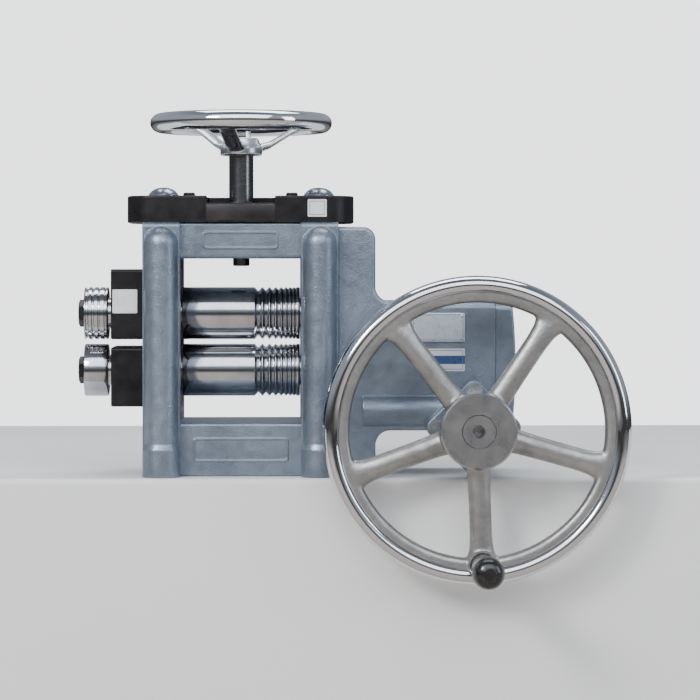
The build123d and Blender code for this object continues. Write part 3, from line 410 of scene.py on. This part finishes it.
@dataclass(frozen=True)
class Moulding:
    """Black phenolic moulding, glossy, with light scuffs."""

    name: str = "black_moulding"
    tone: Colour = (0.008, 0.008, 0.009)

    def make(self) -> bpy.types.Material:
        """Builds the material.

        Returns:
            The finished material.
        """
        s = Shade(self.name)
        scuffs = s.noise(120, 5, 0.75)
        s.colour(s.mix(s.span(scuffs, 0.55, 0.75, (0.0, 0.5)), self.tone, (0.05, 0.05, 0.052)))
        s.feed("Roughness", s.span(scuffs, 0.4, 0.72, (0.2, 0.42)))
        s.feed("Coat Weight", 0.25)
        s.feed("Coat Roughness", 0.15)
        s.feed("Normal", s.bump(s.noise(60, 3), 0.00015))
        return s.material


@dataclass(frozen=True)
class BlankSheet:
    """A plain printed or enamelled plate with nothing on it but a thin border line."""

    name: str
    tone: Colour
    centre: Point
    half: tuple[float, float]
    line: Colour = (0.16, 0.19, 0.24)
    inset: float = 0.0022
    metal: float = 0.0
    band: Colour | None = None

    def make(self) -> bpy.types.Material:
        """Builds the material.

        Returns:
            The finished material.
        """
        s = Shade(self.name)
        split = s.add("ShaderNodeSeparateXYZ")
        s.join(s.stretched((1.0, 1.0, 1.0), self.centre), split.inputs[0])
        across = s.maths("SUBTRACT", self.half[0], s.maths("ABSOLUTE", split.outputs["X"]))
        up = s.maths("SUBTRACT", self.half[1], s.maths("ABSOLUTE", split.outputs["Z"]))
        edge = s.maths("ABSOLUTE", s.maths("SUBTRACT", s.maths("MINIMUM", across, up), self.inset))
        border = s.span(edge, 0.0003, 0.00045, (0.85, 0.0))
        tone = s.mix(s.span(s.noise(60, 4), 0.35, 0.7, (0.0, 1.0)), self.tone, tuple(c * 0.86 for c in self.tone))
        if self.band is not None:
            height = s.maths("ABSOLUTE", split.outputs["Z"])
            middle = s.span(height, self.half[1] * 0.36, self.half[1] * 0.38, (1.0, 0.0))
            tone = s.mix(middle, tone, self.band)
        s.colour(s.mix(border, tone, self.line))
        s.feed("Metallic", self.metal)
        s.feed("Roughness", s.span(s.noise(200, 3), 0.3, 0.7, (0.24, 0.4)))
        s.feed("Normal", s.bump(s.noise(240, 3), 0.00004))
        return s.material


# ---- shaping helpers ----------------------------------------------------------------------------------------
def only(piece: bpy.types.Object) -> None:
    """Makes one object the only one selected, and active.

    Args:
        piece: the object.
    """
    bpy.ops.object.select_all(action="DESELECT")
    piece.select_set(True)
    bpy.context.view_layer.objects.active = piece


def settle(piece: bpy.types.Object, angle: float = 35.0) -> None:
    """Closes and orients a new piece, puts its place in its mesh and smooths it.

    Args:
        piece: the piece.
        angle: the sharpest edge that is smoothed over, in degrees.
    """
    only(piece)
    bpy.ops.object.mode_set(mode="EDIT")
    bpy.ops.mesh.select_all(action="SELECT")
    bpy.ops.mesh.remove_doubles(threshold=0.00002)
    bpy.ops.mesh.normals_make_consistent(inside=False)
    bpy.ops.object.mode_set(mode="OBJECT")
    bpy.ops.object.transform_apply(location=True, rotation=True, scale=True)
    bpy.ops.object.shade_smooth_by_angle(angle=math.radians(angle))


TILT: dict[Turning, Point] = {
    Turning.ACROSS: (0.0, math.pi / 2, 0.0),
    Turning.DEEP: (-math.pi / 2, 0.0, 0.0),
    Turning.UPRIGHT: (0.0, 0.0, 0.0),
}


def lathe(
    name: str,
    turning: Turning,
    centre: Point,
    profile: Sequence[tuple[float, float]],
    sides: int = 128,
    ring: bool = False,
) -> bpy.types.Object:
    """Turns a piece by drawing a circle out along its axis, step by step.

    Args:
        name: the piece's name.
        turning: the axis it turns on.
        centre: a point of the axis in millimetres; its coordinate along the axis is added to each step's.
        profile: (place along the axis, radius) of each step in millimetres.
        sides: how many sides the circle has.
        ring: True joins the last step to the first, as in a ring; False closes both ends.

    Returns:
        The finished piece.
    """
    axis = turning.value
    start, radius = profile[0]
    place = [c * MM for c in centre]
    place[axis] += start * MM
    fill = "NOTHING" if ring else "NGON"
    bpy.ops.object.select_all(action="DESELECT")
    bpy.ops.mesh.primitive_circle_add(
        vertices=sides, radius=radius * MM, fill_type=fill, location=place, rotation=TILT[turning]
    )
    piece = bpy.context.object
    piece.name = piece.data.name = name
    bpy.ops.object.transform_apply(location=True, rotation=True, scale=True)
    bpy.ops.object.mode_set(mode="EDIT")
    bpy.ops.mesh.select_all(action="SELECT")
    for along, out in list(profile[1:]) + ([profile[0]] if ring else []):
        step = [0.0, 0.0, 0.0]
        step[axis] = (along - start) * MM
        if ring:
            bpy.ops.mesh.extrude_edges_move(TRANSFORM_OT_translate={"value": step})
        else:
            bpy.ops.mesh.extrude_region_move(TRANSFORM_OT_translate={"value": step})
        place[axis] += step[axis]
        scale = [out / radius] * 3
        scale[axis] = 1.0
        bpy.ops.transform.resize(value=scale, center_override=place)
        start, radius = along, out
    bpy.ops.object.mode_set(mode="OBJECT")
    settle(piece)
    return piece


def arc(
    centre: tuple[float, float], half: tuple[float, float], start: float, end: float, steps: int
) -> list[tuple[float, float]]:
    """Places points along part of an ellipse in the (along, radius) plane.

    Args:
        centre: the ellipse's middle.
        half: its half width along the axis and across it.
        start: the first point's angle in degrees from the axis.
        end: the last point's angle.
        steps: how many steps lie between them.

    Returns:
        The points.
    """
    angles = [math.radians(start + (end - start) * n / steps) for n in range(steps + 1)]
    return [(centre[0] + half[0] * math.cos(a), centre[1] + half[1] * math.sin(a)) for a in angles]


def arm(name: str, sections: Sequence[tuple[float, float, float, float]], sides: int = 28) -> bpy.types.Object:
    """Draws a round arm out along +X through oval sections.

    Args:
        name: the arm's name.
        sections: (reach, lift along Z, half width in Y, half thickness in Z) in millimetres.
        sides: how many sides each section has.

    Returns:
        The arm, its root at the origin.
    """
    reach, lift, wide, thick = sections[0]
    bpy.ops.object.select_all(action="DESELECT")
    bpy.ops.mesh.primitive_circle_add(
        vertices=sides, radius=MM, fill_type="NGON", location=(reach * MM, 0, lift * MM), rotation=(0, math.pi / 2, 0)
    )
    piece = bpy.context.object
    piece.name = piece.data.name = name
    bpy.ops.object.transform_apply(location=True, rotation=True, scale=True)
    bpy.ops.object.mode_set(mode="EDIT")
    bpy.ops.mesh.select_all(action="SELECT")
    bpy.ops.transform.resize(value=(1, wide, thick), center_override=(reach * MM, 0, lift * MM))
    for along, up, half_y, half_z in sections[1:]:
        bpy.ops.mesh.extrude_region_move(
            TRANSFORM_OT_translate={"value": ((along - reach) * MM, 0, (up - lift) * MM)}
        )
        bpy.ops.transform.resize(value=(1, half_y / wide, half_z / thick), center_override=(along * MM, 0, up * MM))
        reach, lift, wide, thick = along, up, half_y, half_z
    bpy.ops.object.mode_set(mode="OBJECT")
    return piece


def merge(name: str, parts: Sequence[bpy.types.Object], voxel: float, passes: int) -> bpy.types.Object:
    """Runs overlapping shapes together into one casting with soft inside corners.

    Args:
        name: the casting's name.
        parts: closed shapes that overlap.
        voxel: the size of detail kept, in millimetres.
        passes: how often the surface is relaxed.

    Returns:
        The casting.
    """
    bpy.ops.object.select_all(action="DESELECT")
    for part in parts:
        part.select_set(True)
    bpy.context.view_layer.objects.active = parts[0]
    bpy.ops.object.join()
    piece = bpy.context.object
    piece.name = piece.data.name = name
    fuse = piece.modifiers.new("fuse", "REMESH")
    fuse.mode = "VOXEL"
    fuse.voxel_size = voxel * MM
    relax = piece.modifiers.new("relax", "SMOOTH")
    relax.factor = 0.5
    relax.iterations = passes
    bpy.ops.object.modifier_apply(modifier="fuse")
    bpy.ops.object.modifier_apply(modifier="relax")
    settle(piece, 80)
    return piece


def dress(piece: bpy.types.Object, finish: bpy.types.Material) -> None:
    """Gives a piece one finish all over."""
    piece.data.materials.clear()
    piece.data.materials.append(finish)


# ---- the front handwheel ------------------------------------------------------------------------------------
@dataclass
class FrontHandwheel:
    """The big cast handwheel: polished bead, cast web and spokes, machined hub, turning grip. Millimetres."""

    x: float = 253.0
    z: float = 54.0
    plane: float = -150.0
    outer_r: float = 165.0
    bead: tuple[float, float] = (13.0, 10.0)
    web_inner_r: float = 136.0
    hub_r: float = 40.5
    hub_ends: tuple[float, float] = (-182.0, -121.0)
    spokes: int = 5
    first_spoke: float = -88.0
    handle_reach: float = 143.0
    grip: tuple[float, float] = (-165.0, -263.0)
    made: list[bpy.types.Object] = field(default_factory=list)

    @property
    def centre(self) -> Point:
        """The middle of the wheel."""
        return (self.x, self.plane, self.z)

    @property
    def handle(self) -> Point:
        """The foot of the handle."""
        turn = math.radians(self.first_spoke)
        return (self.x + self.handle_reach * math.cos(turn), 0.0, self.z + self.handle_reach * math.sin(turn))

    def rim(self) -> bpy.types.Object:
        """Turns the polished outer bead.

        Returns:
            The bead.
        """
        middle = self.outer_r - self.bead[1]
        return lathe(
            "drive_rim_bead", Turning.DEEP, self.centre, arc((0, middle), self.bead, 0, 360, 36)[:-1], 224, ring=True
        )

    def spider(self) -> bpy.types.Object:
        """Casts the web, spokes, handle boss and hub as one.

        Returns:
            The casting.
        """
        inner, outer = self.web_inner_r, self.outer_r - self.bead[1] + 1
        web = lathe(
            "web",
            Turning.DEEP,
            self.centre,
            [(-8, outer), (-8, inner + 4), (-5, inner + 1), (0, inner), (5, inner + 1), (8, inner + 4), (8, outer)],
            160,
            ring=True,
        )
        front, back = (end - self.plane for end in self.hub_ends)
        hub = lathe(
            "hub",
            Turning.DEEP,
            self.centre,
            [(front + 2, 17.5), (front + 2, self.hub_r - 1), (-6, self.hub_r - 0.4), (9, self.hub_r - 3.5),
             (back, self.hub_r - 7), (back, 17.5)],
            96,
            ring=True,
        )
        parts = [web, hub]
        for n in range(self.spokes):
            turn = self.first_spoke + 360 * n / self.spokes
            spoke = arm(
                "spoke",
                [(30, 0, 14, 11), (40, 0, 13.4, 10.6), (54, 0, 12.6, 10), (80, 0, 12.2, 9.6), (112, 0, 12.2, 9.4),
                 (126, 0, 13.2, 9), (134, 0, 15.6, 8.4), (141, 0, 20, 7.8)],
            )
            spoke.rotation_euler = (math.pi / 2, 0, 0)
            only(spoke)
            bpy.ops.object.transform_apply(location=True, rotation=True, scale=True)
            spoke.rotation_euler = (0, -math.radians(turn), 0)
            spoke.location = [c * MM for c in self.centre]
            bpy.ops.object.transform_apply(location=True, rotation=True, scale=True)
            parts.append(spoke)
        foot = self.handle
        boss = lathe(
            "boss", Turning.DEEP, foot, [(-163.6, 13), (-162.6, 14), (-150, 14.4), (-139, 13.5), (-138, 12.5)], 48
        )
        parts.append(boss)
        return merge("drive_spider", parts, 1.7, 7)

    def hub_face(self) -> bpy.types.Object:
        """Turns the machined ring on the front of the hub, round the shaft.

        Returns:
            The ring.
        """
        front = self.hub_ends[0] - self.plane
        r = self.hub_r
        return lathe(
            "drive_hub_face",
            Turning.DEEP,
            self.centre,
            [(front + 4.2, 17.6), (front + 0.7, 17.7), (front, 18.3), (front, 30), (front, r - 1.8), (front + 1.5, r),
             (front + 11, r), (front + 12, r - 0.8), (front + 4.2, r - 1.5)],
            160,
            ring=True,
        )

    def turned_grip(self) -> bpy.types.Object:
        """Turns the revolving grip, with a domed end and a step at its root.

        Returns:
            The grip.
        """
        back, front = self.grip
        long = back - front
        root = [(0.0, 6.0), (0.0, 13.0), (0.012, 13.7), (0.03, 13.7), (0.04, 12.7), (0.06, 12.3)]
        belly = [(0.16, 12.7), (0.32, 13.9), (0.48, 15.3), (0.64, 16.6), (0.76, 17.2), (0.84, 17.2)]
        dome = [(0.9, 16.5), (0.95, 14.6), (0.98, 11.6), (0.996, 8.6), (1.003, 6.6), (1.008, 4.0), (1.01, 1.2)]
        shape = root + belly + dome
        return lathe("drive_handle_grip", Turning.DEEP, self.handle, [(back - t * long, r) for t, r in shape], 96)

    def build(
        self,
        cast: bpy.types.Material,
        bright: bpy.types.Material,
        plain: bpy.types.Material,
        black: bpy.types.Material,
    ) -> None:
        """Builds and dresses the wheel.

        Args:
            cast: the finish of the spokes and web.
            bright: the finish of the bead.
            plain: the finish of the machined hub face.
            black: the grip's finish.
        """
        for piece, finish, body, slot in (
            (self.rim(), bright, "drive_wheel", "cast_alloy"),
            (self.spider(), cast, "drive_wheel", "cast_alloy"),
            (self.hub_face(), plain, "drive_wheel", "cast_alloy"),
            (self.turned_grip(), black, "handle", "black_grip"),
        ):
            dress(piece, finish)
            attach(piece, body)
            self.made.append(piece)
        for piece in self.made[:3]:
            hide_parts("drive_handwheel")
        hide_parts("handle_grip")


# ---- the top handwheel --------------------------------------------------------------------------------------
@dataclass
class TopHandwheel:
    """The chromed three-spoke handwheel that closes the rolls. Millimetres."""

    outer_r: float = 101.0
    rim: tuple[float, float] = (10.5, 11.0)
    rim_z: float = 388.0
    hub_z: float = 352.0
    hub_h: float = 20.0
    hub_r: float = 23.5
    spoke_angles: tuple[float, float, float] = (-105.0, 15.0, 135.0)

    def build(self, chrome: bpy.types.Material, satin: bpy.types.Material) -> None:
        """Builds and dresses the wheel.

        Args:
            chrome: the rim's finish.
            satin: the finish of the hub and spokes.
        """
        middle = self.outer_r - self.rim[1]
        ring = lathe(
            "top_rim", Turning.UPRIGHT, (0, 0, self.rim_z), arc((0, middle), self.rim, 0, 360, 32)[:-1], 176, ring=True
        )
        hub = lathe(
            "hub",
            Turning.UPRIGHT,
            (0, 0, self.hub_z),
            [(0, self.hub_r - 1.2), (1.2, self.hub_r - 0.2), (8, self.hub_r - 0.2), (13, self.hub_r - 2.5),
             (self.hub_h - 1, self.hub_r - 4.5), (self.hub_h - 0.3, self.hub_r - 6)],
            96,
        )
        parts = [hub]
        for angle in self.spoke_angles:
            spoke = arm(
                "spoke",
                [(12, 360, 11, 5), (22, 361, 10.6, 5), (32, 364, 10.2, 4.2), (44, 371, 10, 3.8), (56, 378.5, 10, 3.7),
                 (68, 383.5, 10.3, 3.9), (78, 386, 11.2, 4.6), (86, 387, 13, 5)],
            )
            spoke.rotation_euler = (0, 0, math.radians(angle))
            only(spoke)
            bpy.ops.object.transform_apply(location=True, rotation=True, scale=True)
            parts.append(spoke)
        spider = merge("top_spider", parts, 1.0, 6)
        for piece, finish in ((ring, chrome), (spider, satin)):
            dress(piece, finish)
            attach(piece, "adjuster")
            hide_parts("top_handwheel")


# ---- the rolls ----------------------------------------------------------------------------------------------
@dataclass
class Roll:
    """One roll with its wire grooves and its outboard ring. Millimetres."""

    name: str
    body: str
    z: float
    ring_grooves: int
    face: float = 130.0
    radius: float = 29.0
    flat: float = 80.0
    grooves: tuple[float, ...] = (8.0, 7.0, 6.0, 5.2, 4.4, 3.8, 3.2, 2.6)
    land: float = 0.9
    ring_ends: tuple[float, float] = (-147.1, -173.7)
    spigot_r: float = 11.0
    journal_r: float = 17.0
    skin: float = 0.06

    def profile(self) -> list[tuple[float, float]]:
        """Draws the roll's outline from its left journal to its right journal.

        Returns:
            (place along the roll, radius) of each step.
        """
        half, r = self.face / 2 + self.skin, self.radius + self.skin
        steps = [(-half, self.journal_r), (-half, r - 1), (-half + 0.3, r - 0.3), (-half + 1, r)]
        x = -self.face / 2 + self.flat
        steps.append((x - 0.15, r))
        for width in self.grooves:
            steps += [(x, r - 0.05), (x + width / 2 - 0.25, r - width / 2 + 0.2), (x + width / 2, r - width / 2)]
            steps += [(x + width / 2 + 0.25, r - width / 2 + 0.2), (x + width, r - 0.05), (x + width + 0.15, r)]
            x += width + self.land
            steps.append((x - 0.15, r))
        return steps + [(half - 1, r), (half - 0.3, r - 0.3), (half, r - 1), (half, self.journal_r)]

    def ring_profile(self) -> list[tuple[float, float]]:
        """Draws the outboard ring's outline, with round grooves where it has them.

        Returns:
            (place along the roll, radius) of each step.
        """
        right, left = self.ring_ends
        r = self.radius
        steps = [(left, self.spigot_r), (left, r - 1.4), (left + 0.4, r - 0.4), (left + 1.2, r)]
        pitch = (right - left) / 4
        for n in range(self.ring_grooves):
            cut = 1.95 - 0.25 * n
            steps += arc((left + pitch * (n + 0.5), r), (cut, cut), 180, 360, 8)
        return steps + [(right - 1.2, r), (right - 0.4, r - 0.4), (right, r - 1.4), (right, self.spigot_r)]

    def build(self, steel: bpy.types.Material) -> None:
        """Builds and dresses the roll's face and ring.

        Args:
            steel: their finish.
        """
        face = lathe(f"{self.name}_roll_face", Turning.ACROSS, (0, 0, self.z), self.profile(), 144)
        ring = lathe(f"{self.name}_outboard_ring", Turning.ACROSS, (0, 0, self.z), self.ring_profile(), 128, ring=True)
        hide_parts(f"{self.name}_extension_roll")
        for piece in (face, ring):
            dress(piece, steel)
            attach(piece, self.body)


# ---- springs between the bearing blocks ---------------------------------------------------------------------
@dataclass
class LiftingCoils:
    """The four coil springs that hold the upper blocks up, and shorten as the rolls close. Millimetres."""

    x: float = 86.25
    y: float = 30.0
    foot: float = 130.9
    length: float = 27.2
    turns: int = 5
    radius: float = 5.0
    wire: float = 0.9

    def coil(self, place: Point) -> bpy.types.Object:
        """Winds one spring.

        Args:
            place: the middle of its lowest turn.

        Returns:
            The spring.
        """
        bpy.ops.object.select_all(action="DESELECT")
        bpy.ops.mesh.primitive_circle_add(
            vertices=12, radius=self.wire * MM, location=(self.radius * MM, 0, 0), rotation=(math.pi / 2, 0, 0)
        )
        piece = bpy.context.object
        bpy.ops.object.transform_apply(location=True, rotation=True, scale=True)
        wind = piece.modifiers.new("wind", "SCREW")
        wind.axis = "Z"
        wind.screw_offset = self.length / self.turns * MM
        wind.iterations = self.turns
        wind.steps = wind.render_steps = 32
        bpy.ops.object.modifier_apply(modifier="wind")
        bpy.ops.object.mode_set(mode="EDIT")
        bpy.ops.mesh.select_all(action="SELECT")
        bpy.ops.mesh.fill_holes(sides=12)
        bpy.ops.object.mode_set(mode="OBJECT")
        piece.location = [c * MM for c in place]
        bpy.ops.object.transform_apply(location=True, rotation=True, scale=True)
        return piece

    def build(self, steel: bpy.types.Material) -> None:
        """Winds the four springs between the blocks.

        Args:
            steel: their finish.
        """
        coils = [self.coil((sx * self.x, sy * self.y, self.foot)) for sx in (-1, 1) for sy in (-1, 1)]
        only(coils[0])
        for coil in coils[1:]:
            coil.select_set(True)
        bpy.ops.object.join()
        piece = bpy.context.object
        piece.name = piece.data.name = "lifting_coils"
        settle(piece, 60)
        dress(piece, steel)
        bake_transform(piece)
        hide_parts("lifting_springs")


# ---- small fittings -----------------------------------------------------------------------------------------
@dataclass
class Fittings:
    """Small pieces: the pins of the blank nameplate and the milled panel of the top plate. Millimetres."""

    plate_centre: tuple[float, float] = (215.2, 162.4)
    plate_half: tuple[float, float] = (26.0, 12.6)
    plate_front: float = -77.0
    panel_centre: Point = (0.0, -76.1, 287.5)
    panel_size: Point = (74.4, 1.4, 17.4)

    def pin(self, name: str, place: Point) -> bpy.types.Object:
        """Turns a round-headed drive pin that faces the front.

        Args:
            name: the pin's name.
            place: where its foot lies.

        Returns:
            The pin.
        """
        steps = [(0.2, 1.5), (-0.1, 1.6), (-0.5, 1.45), (-0.85, 1.05), (-1.05, 0.5), (-1.1, 0.12)]
        return lathe(name, Turning.DEEP, place, steps, 24)

    def panel(self) -> bpy.types.Object:
        """Mills the face of the raised panel on the front of the top plate.

        Returns:
            The panel.
        """
        wide, thick, tall = self.panel_size
        bpy.ops.object.select_all(action="DESELECT")
        bpy.ops.mesh.primitive_cube_add(
            size=MM, location=[c * MM for c in self.panel_centre], scale=(wide, thick, tall)
        )
        piece = bpy.context.object
        piece.name = piece.data.name = "top_plate_panel"
        bpy.ops.object.transform_apply(location=True, rotation=True, scale=True)
        soften = piece.modifiers.new("soften", "BEVEL")
        soften.width, soften.segments = 0.4 * MM, 3
        bpy.ops.object.modifier_apply(modifier="soften")
        settle(piece)
        return piece

    def build(self, steel: bpy.types.Material, milled: bpy.types.Material) -> None:
        """Builds and dresses the pins and the panel.

        Args:
            steel: the pins' finish.
            milled: the panel's finish.
        """
        face = self.panel()
        dress(face, milled)
        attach(face, "frame")
        for n, (sx, sz) in enumerate(((-1, -1), (1, -1), (-1, 1), (1, 1))):
            place = (
                self.plate_centre[0] + sx * self.plate_half[0],
                self.plate_front,
                self.plate_centre[1] + sz * self.plate_half[1],
            )
            piece = self.pin(f"nameplate_pin_{n + 1}", place)
            dress(piece, steel)
            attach(piece, "frame")


# ---- finishes of the pieces that come from the solid model --------------------------------------------------
@dataclass
class Workshop:
    """Makes each finish once and puts it on the pieces it belongs to."""

    finishes: dict[str, bpy.types.Material] = field(default_factory=dict)

    def prepare(self) -> None:
        """Makes every finish."""
        up, across, deep = Turning.UPRIGHT, Turning.ACROSS, Turning.DEEP
        recipes = {
            "paint": CastPaint(),
            "black": BlackOxide(),
            "chrome": MirrorPlate(),
            "spokes": MirrorPlate("satin_chrome", (0.66, 0.68, 0.72), (0.26, 0.38)),
            "panel": BlackOxide("milled_panel", Turning.ACROSS, (0.045, 0.04, 0.044)),
            "cast": SandCast(),
            "grip": Moulding(),
            "bead": MirrorPlate("polished_rim", (0.66, 0.665, 0.69)),
            "rolls": TurnedSteel("ground_steel", across, (0, 0, 0), (0.6, 0.61, 0.64), (0.1, 0.17), 0.000006),
            "hub": TurnedSteel("faced_steel", deep, (0.253, 0, 0.054), (0.5, 0.5, 0.51), (0.22, 0.36)),
            "shaft": TurnedSteel("dark_shaft", up, (0, 0, 0), (0.2, 0.2, 0.21), (0.2, 0.32)),
            "domes": TurnedSteel("dome_steel", up, (0, 0, 0), (0.4, 0.44, 0.5), (0.2, 0.3)),
            "bolts": TurnedSteel("zinc_steel", deep, (0, 0, 0), (0.56, 0.58, 0.6), (0.2, 0.32)),
            "gears": TurnedSteel("oiled_steel", across, (0, 0, 0), (0.26, 0.26, 0.27), (0.26, 0.4)),
            "bronze": TurnedSteel("bearing_bronze", across, (0, 0, 0), (0.55, 0.36, 0.16), (0.24, 0.38)),
            "nameplate": BlankSheet(
                "blank_nameplate", (0.6, 0.68, 0.74), (0.2152, 0, 0.1624), (0.0292, 0.01585), metal=0.3
            ),
            "housing_label": BlankSheet(
                "two_tone_label", (0.78, 0.8, 0.82), (0.2222, 0, 0.127), (0.0222, 0.01235), band=(0.05, 0.1, 0.25)
            ),
            "block_label": BlankSheet(
                "blank_block_label", (0.86, 0.89, 0.92), (-0.127, 0, 0.1907), (0.0135, 0.013), (0.7, 0.75, 0.8)
            ),
            "plate_label": BlankSheet(
                "blank_plate_label", (0.84, 0.86, 0.88), (0.0835, 0, 0.2925), (0.01025, 0.0095), (0.05, 0.05, 0.06)
            ),
        }
        self.finishes = {name: recipe.make() for name, recipe in recipes.items()}

    def dress_nodes(self, nodes: dict[str, bpy.types.Object]) -> None:
        """Puts finishes on the pieces from the solid model.

        Args:
            nodes: the pieces by name.
        """
        choice = {
            "paint": ("frame_casting", "gear_housing", "gearbox_end_cap", "idler_end_plate", "drive_carrier"),
            "black": ("top_plate", "lower_bearing_block_left", "lower_bearing_block_right", "upper_bearing_block_left",
                      "upper_bearing_block_right", "upper_extension_nut", "lower_extension_nut", "top_plate_screws",
                      "housing_screws", "end_cap_screws"),
            "rolls": ("upper_roll", "lower_roll", "upper_extension_roll", "lower_extension_roll"),
            "shaft": ("adjuster_shaft", "adjuster_bush"),
            "domes": ("screw_cap_left", "screw_cap_right"),
            "hub": ("drive_shaft", "drive_key", "handle_spindle"),
            "bolts": ("carrier_bolts",),
            "chrome": ("top_handwheel", "top_wheel_nut"),
            "cast": ("drive_handwheel",),
            "grip": ("handle_grip", "handle_end_plug"),
            "bronze": ("lower_roll_bushes", "upper_roll_bushes", "shaft_bush", "drive_bush", "idler_bushes"),
            "nameplate": ("nameplate",),
            "housing_label": ("housing_label",),
            "block_label": ("block_label",),
            "plate_label": ("plate_label",),
        }
        by_node = {node: name for name, group in choice.items() for node in group}
        for node, piece in nodes.items():
            dress(piece, self.finishes[by_node.get(node, "gears")])
            log.info("dressed %s", node)


# ---- studio -------------------------------------------------------------------------------------------------
@dataclass
class Studio:
    """A pale plinth and backdrop, soft lamps, and the camera. Metres."""

    eye: Point = (0.0385, -3.25, 0.2218)
    aim: Point = (0.119, -0.08, 0.138)
    lens: float = 150.0
    plinth_front: float = -0.107
    floor_z: float = -0.42

    def tone(self, name: str, colour: Colour) -> bpy.types.Material:
        """Makes a quiet matt finish with a breath of variation.

        Args:
            name: the finish's name.
            colour: its colour.

        Returns:
            The finished material.
        """
        s = Shade(name)
        s.colour(s.mix(s.span(s.noise(3, 3), 0.3, 0.7, (0.0, 1.0)), colour, tuple(c * 0.97 for c in colour)))
        s.feed("Roughness", 0.75)
        return s.material

    def stand(self) -> None:
        """Builds the plinth and the floor."""
        pale = self.tone("pale_surface", (0.86, 0.86, 0.855))
        ground = self.tone("pale_ground", (0.46, 0.41, 0.36))
        bpy.ops.object.select_all(action="DESELECT")
        depth = 1.1
        bpy.ops.mesh.primitive_cube_add(
            size=1,
            location=(0.12, self.plinth_front + depth / 2, self.floor_z / 2 - 0.0001),
            scale=(2.6, depth, -self.floor_z),
        )
        plinth = bpy.context.object
        plinth.name = "plinth"
        bpy.ops.object.transform_apply(location=True, rotation=True, scale=True)
        edge = plinth.modifiers.new("edge", "BEVEL")
        edge.width, edge.segments = 0.006, 4
        bpy.ops.object.modifier_apply(modifier="edge")
        bpy.ops.mesh.primitive_plane_add(size=14, location=(0, 0, self.floor_z))
        floor = bpy.context.object
        floor.name = "floor"
        for piece, surface in ((plinth, pale), (floor, ground)):
            dress(piece, surface)

    def lamp(self, name: str, place: Point, size: tuple[float, float], power: float, colour: Colour) -> None:
        """Hangs one soft lamp, turned towards the object.

        Args:
            name: the lamp's name.
            place: where it hangs.
            size: its width and height.
            power: its power in watts.
            colour: its colour.
        """
        bpy.ops.object.light_add(type="AREA", location=place)
        lamp = bpy.context.object
        lamp.name = name
        lamp.data.shape = "RECTANGLE"
        lamp.data.size, lamp.data.size_y = size
        lamp.data.energy = power
        lamp.data.color = colour
        lamp.rotation_euler = (Vector(self.aim) - Vector(place)).to_track_quat("-Z", "Y").to_euler()

    def light(self) -> None:
        """Sets the sky and the lamps."""
        world = bpy.data.worlds.new("sky")
        bpy.context.scene.world = world
        world.use_nodes = True
        tree = world.node_tree
        back = tree.nodes["Background"]
        coord = tree.nodes.new("ShaderNodeTexCoord")
        split = tree.nodes.new("ShaderNodeSeparateXYZ")
        ramp = tree.nodes.new("ShaderNodeValToRGB")
        tree.links.new(coord.outputs["Generated"], split.inputs[0])
        tree.links.new(split.outputs["Z"], ramp.inputs["Fac"])
        tree.links.new(ramp.outputs["Color"], back.inputs["Color"])
        stops = (
            (0.0, (0.1, 0.095, 0.09)),
            (0.06, (0.2, 0.21, 0.23)),
            (0.2, (0.62, 0.68, 0.76)),
            (0.62, (0.6, 0.67, 0.8)),
            (1.0, (0.22, 0.25, 0.3)),
        )
        ramp.color_ramp.elements.remove(ramp.color_ramp.elements[0])
        for n, (place, colour) in enumerate(stops):
            stop = ramp.color_ramp.elements[0] if n == 0 else ramp.color_ramp.elements.new(place)
            stop.position = place
            stop.color = (*colour, 1)
        back.inputs["Strength"].default_value = 0.62
        plain = tree.nodes.new("ShaderNodeBackground")
        plain.inputs["Color"].default_value = (0.95, 0.965, 1.0, 1)
        plain.inputs["Strength"].default_value = 2.6
        path = tree.nodes.new("ShaderNodeLightPath")
        blend = tree.nodes.new("ShaderNodeMixShader")
        tree.links.new(path.outputs["Is Camera Ray"], blend.inputs[0])
        tree.links.new(back.outputs[0], blend.inputs[1])
        tree.links.new(plain.outputs[0], blend.inputs[2])
        tree.links.new(blend.outputs[0], tree.nodes["World Output"].inputs[0])
        self.lamp("key", (-1.7, -2.3, 1.7), (0.8, 0.8), 60, (1.0, 0.985, 0.96))
        self.lamp("bank", (0.1, -2.9, 2.3), (4.6, 2.5), 112, (0.93, 0.965, 1.0))
        self.lamp("fill", (2.4, -1.2, 0.9), (0.7, 1.6), 16, (0.86, 0.93, 1.0))
        self.lamp("top", (0.2, 0.6, 2.2), (1.8, 0.9), 30, (1.0, 1.0, 1.0))

    def camera(self) -> None:
        """Places the camera at the height and side the object is seen from."""
        bpy.ops.object.camera_add(location=self.eye)
        camera = bpy.context.object
        camera.rotation_euler = (Vector(self.aim) - Vector(self.eye)).to_track_quat("-Z", "Y").to_euler()
        camera.data.lens = self.lens
        camera.data.dof.use_dof = False
        bpy.context.scene.camera = camera


def main() -> None:
    """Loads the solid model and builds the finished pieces."""
    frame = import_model()
    shop = Workshop()
    shop.prepare()
    shop.dress_nodes(frame["nodes"])
    finish = shop.finishes
    Studio().stand()
    Studio().light()
    Studio().camera()
    FrontHandwheel().build(finish["cast"], finish["bead"], finish["hub"], finish["grip"])
    log.info("front handwheel built")
    TopHandwheel().build(finish["chrome"], finish["spokes"])
    log.info("top handwheel built")
    for roll in (Roll("upper", "upper_roll_train", 177.0, 4), Roll("lower", "lower_roll_train", 114.0, 0)):
        roll.build(finish["rolls"])
        log.info("%s roll built", roll.name)
    LiftingCoils().build(finish["gears"])
    log.info("lifting springs wound")
    Fittings().build(finish["bolts"], finish["panel"])
    log.info("fittings built")


if __name__ == "__main__":
    main()
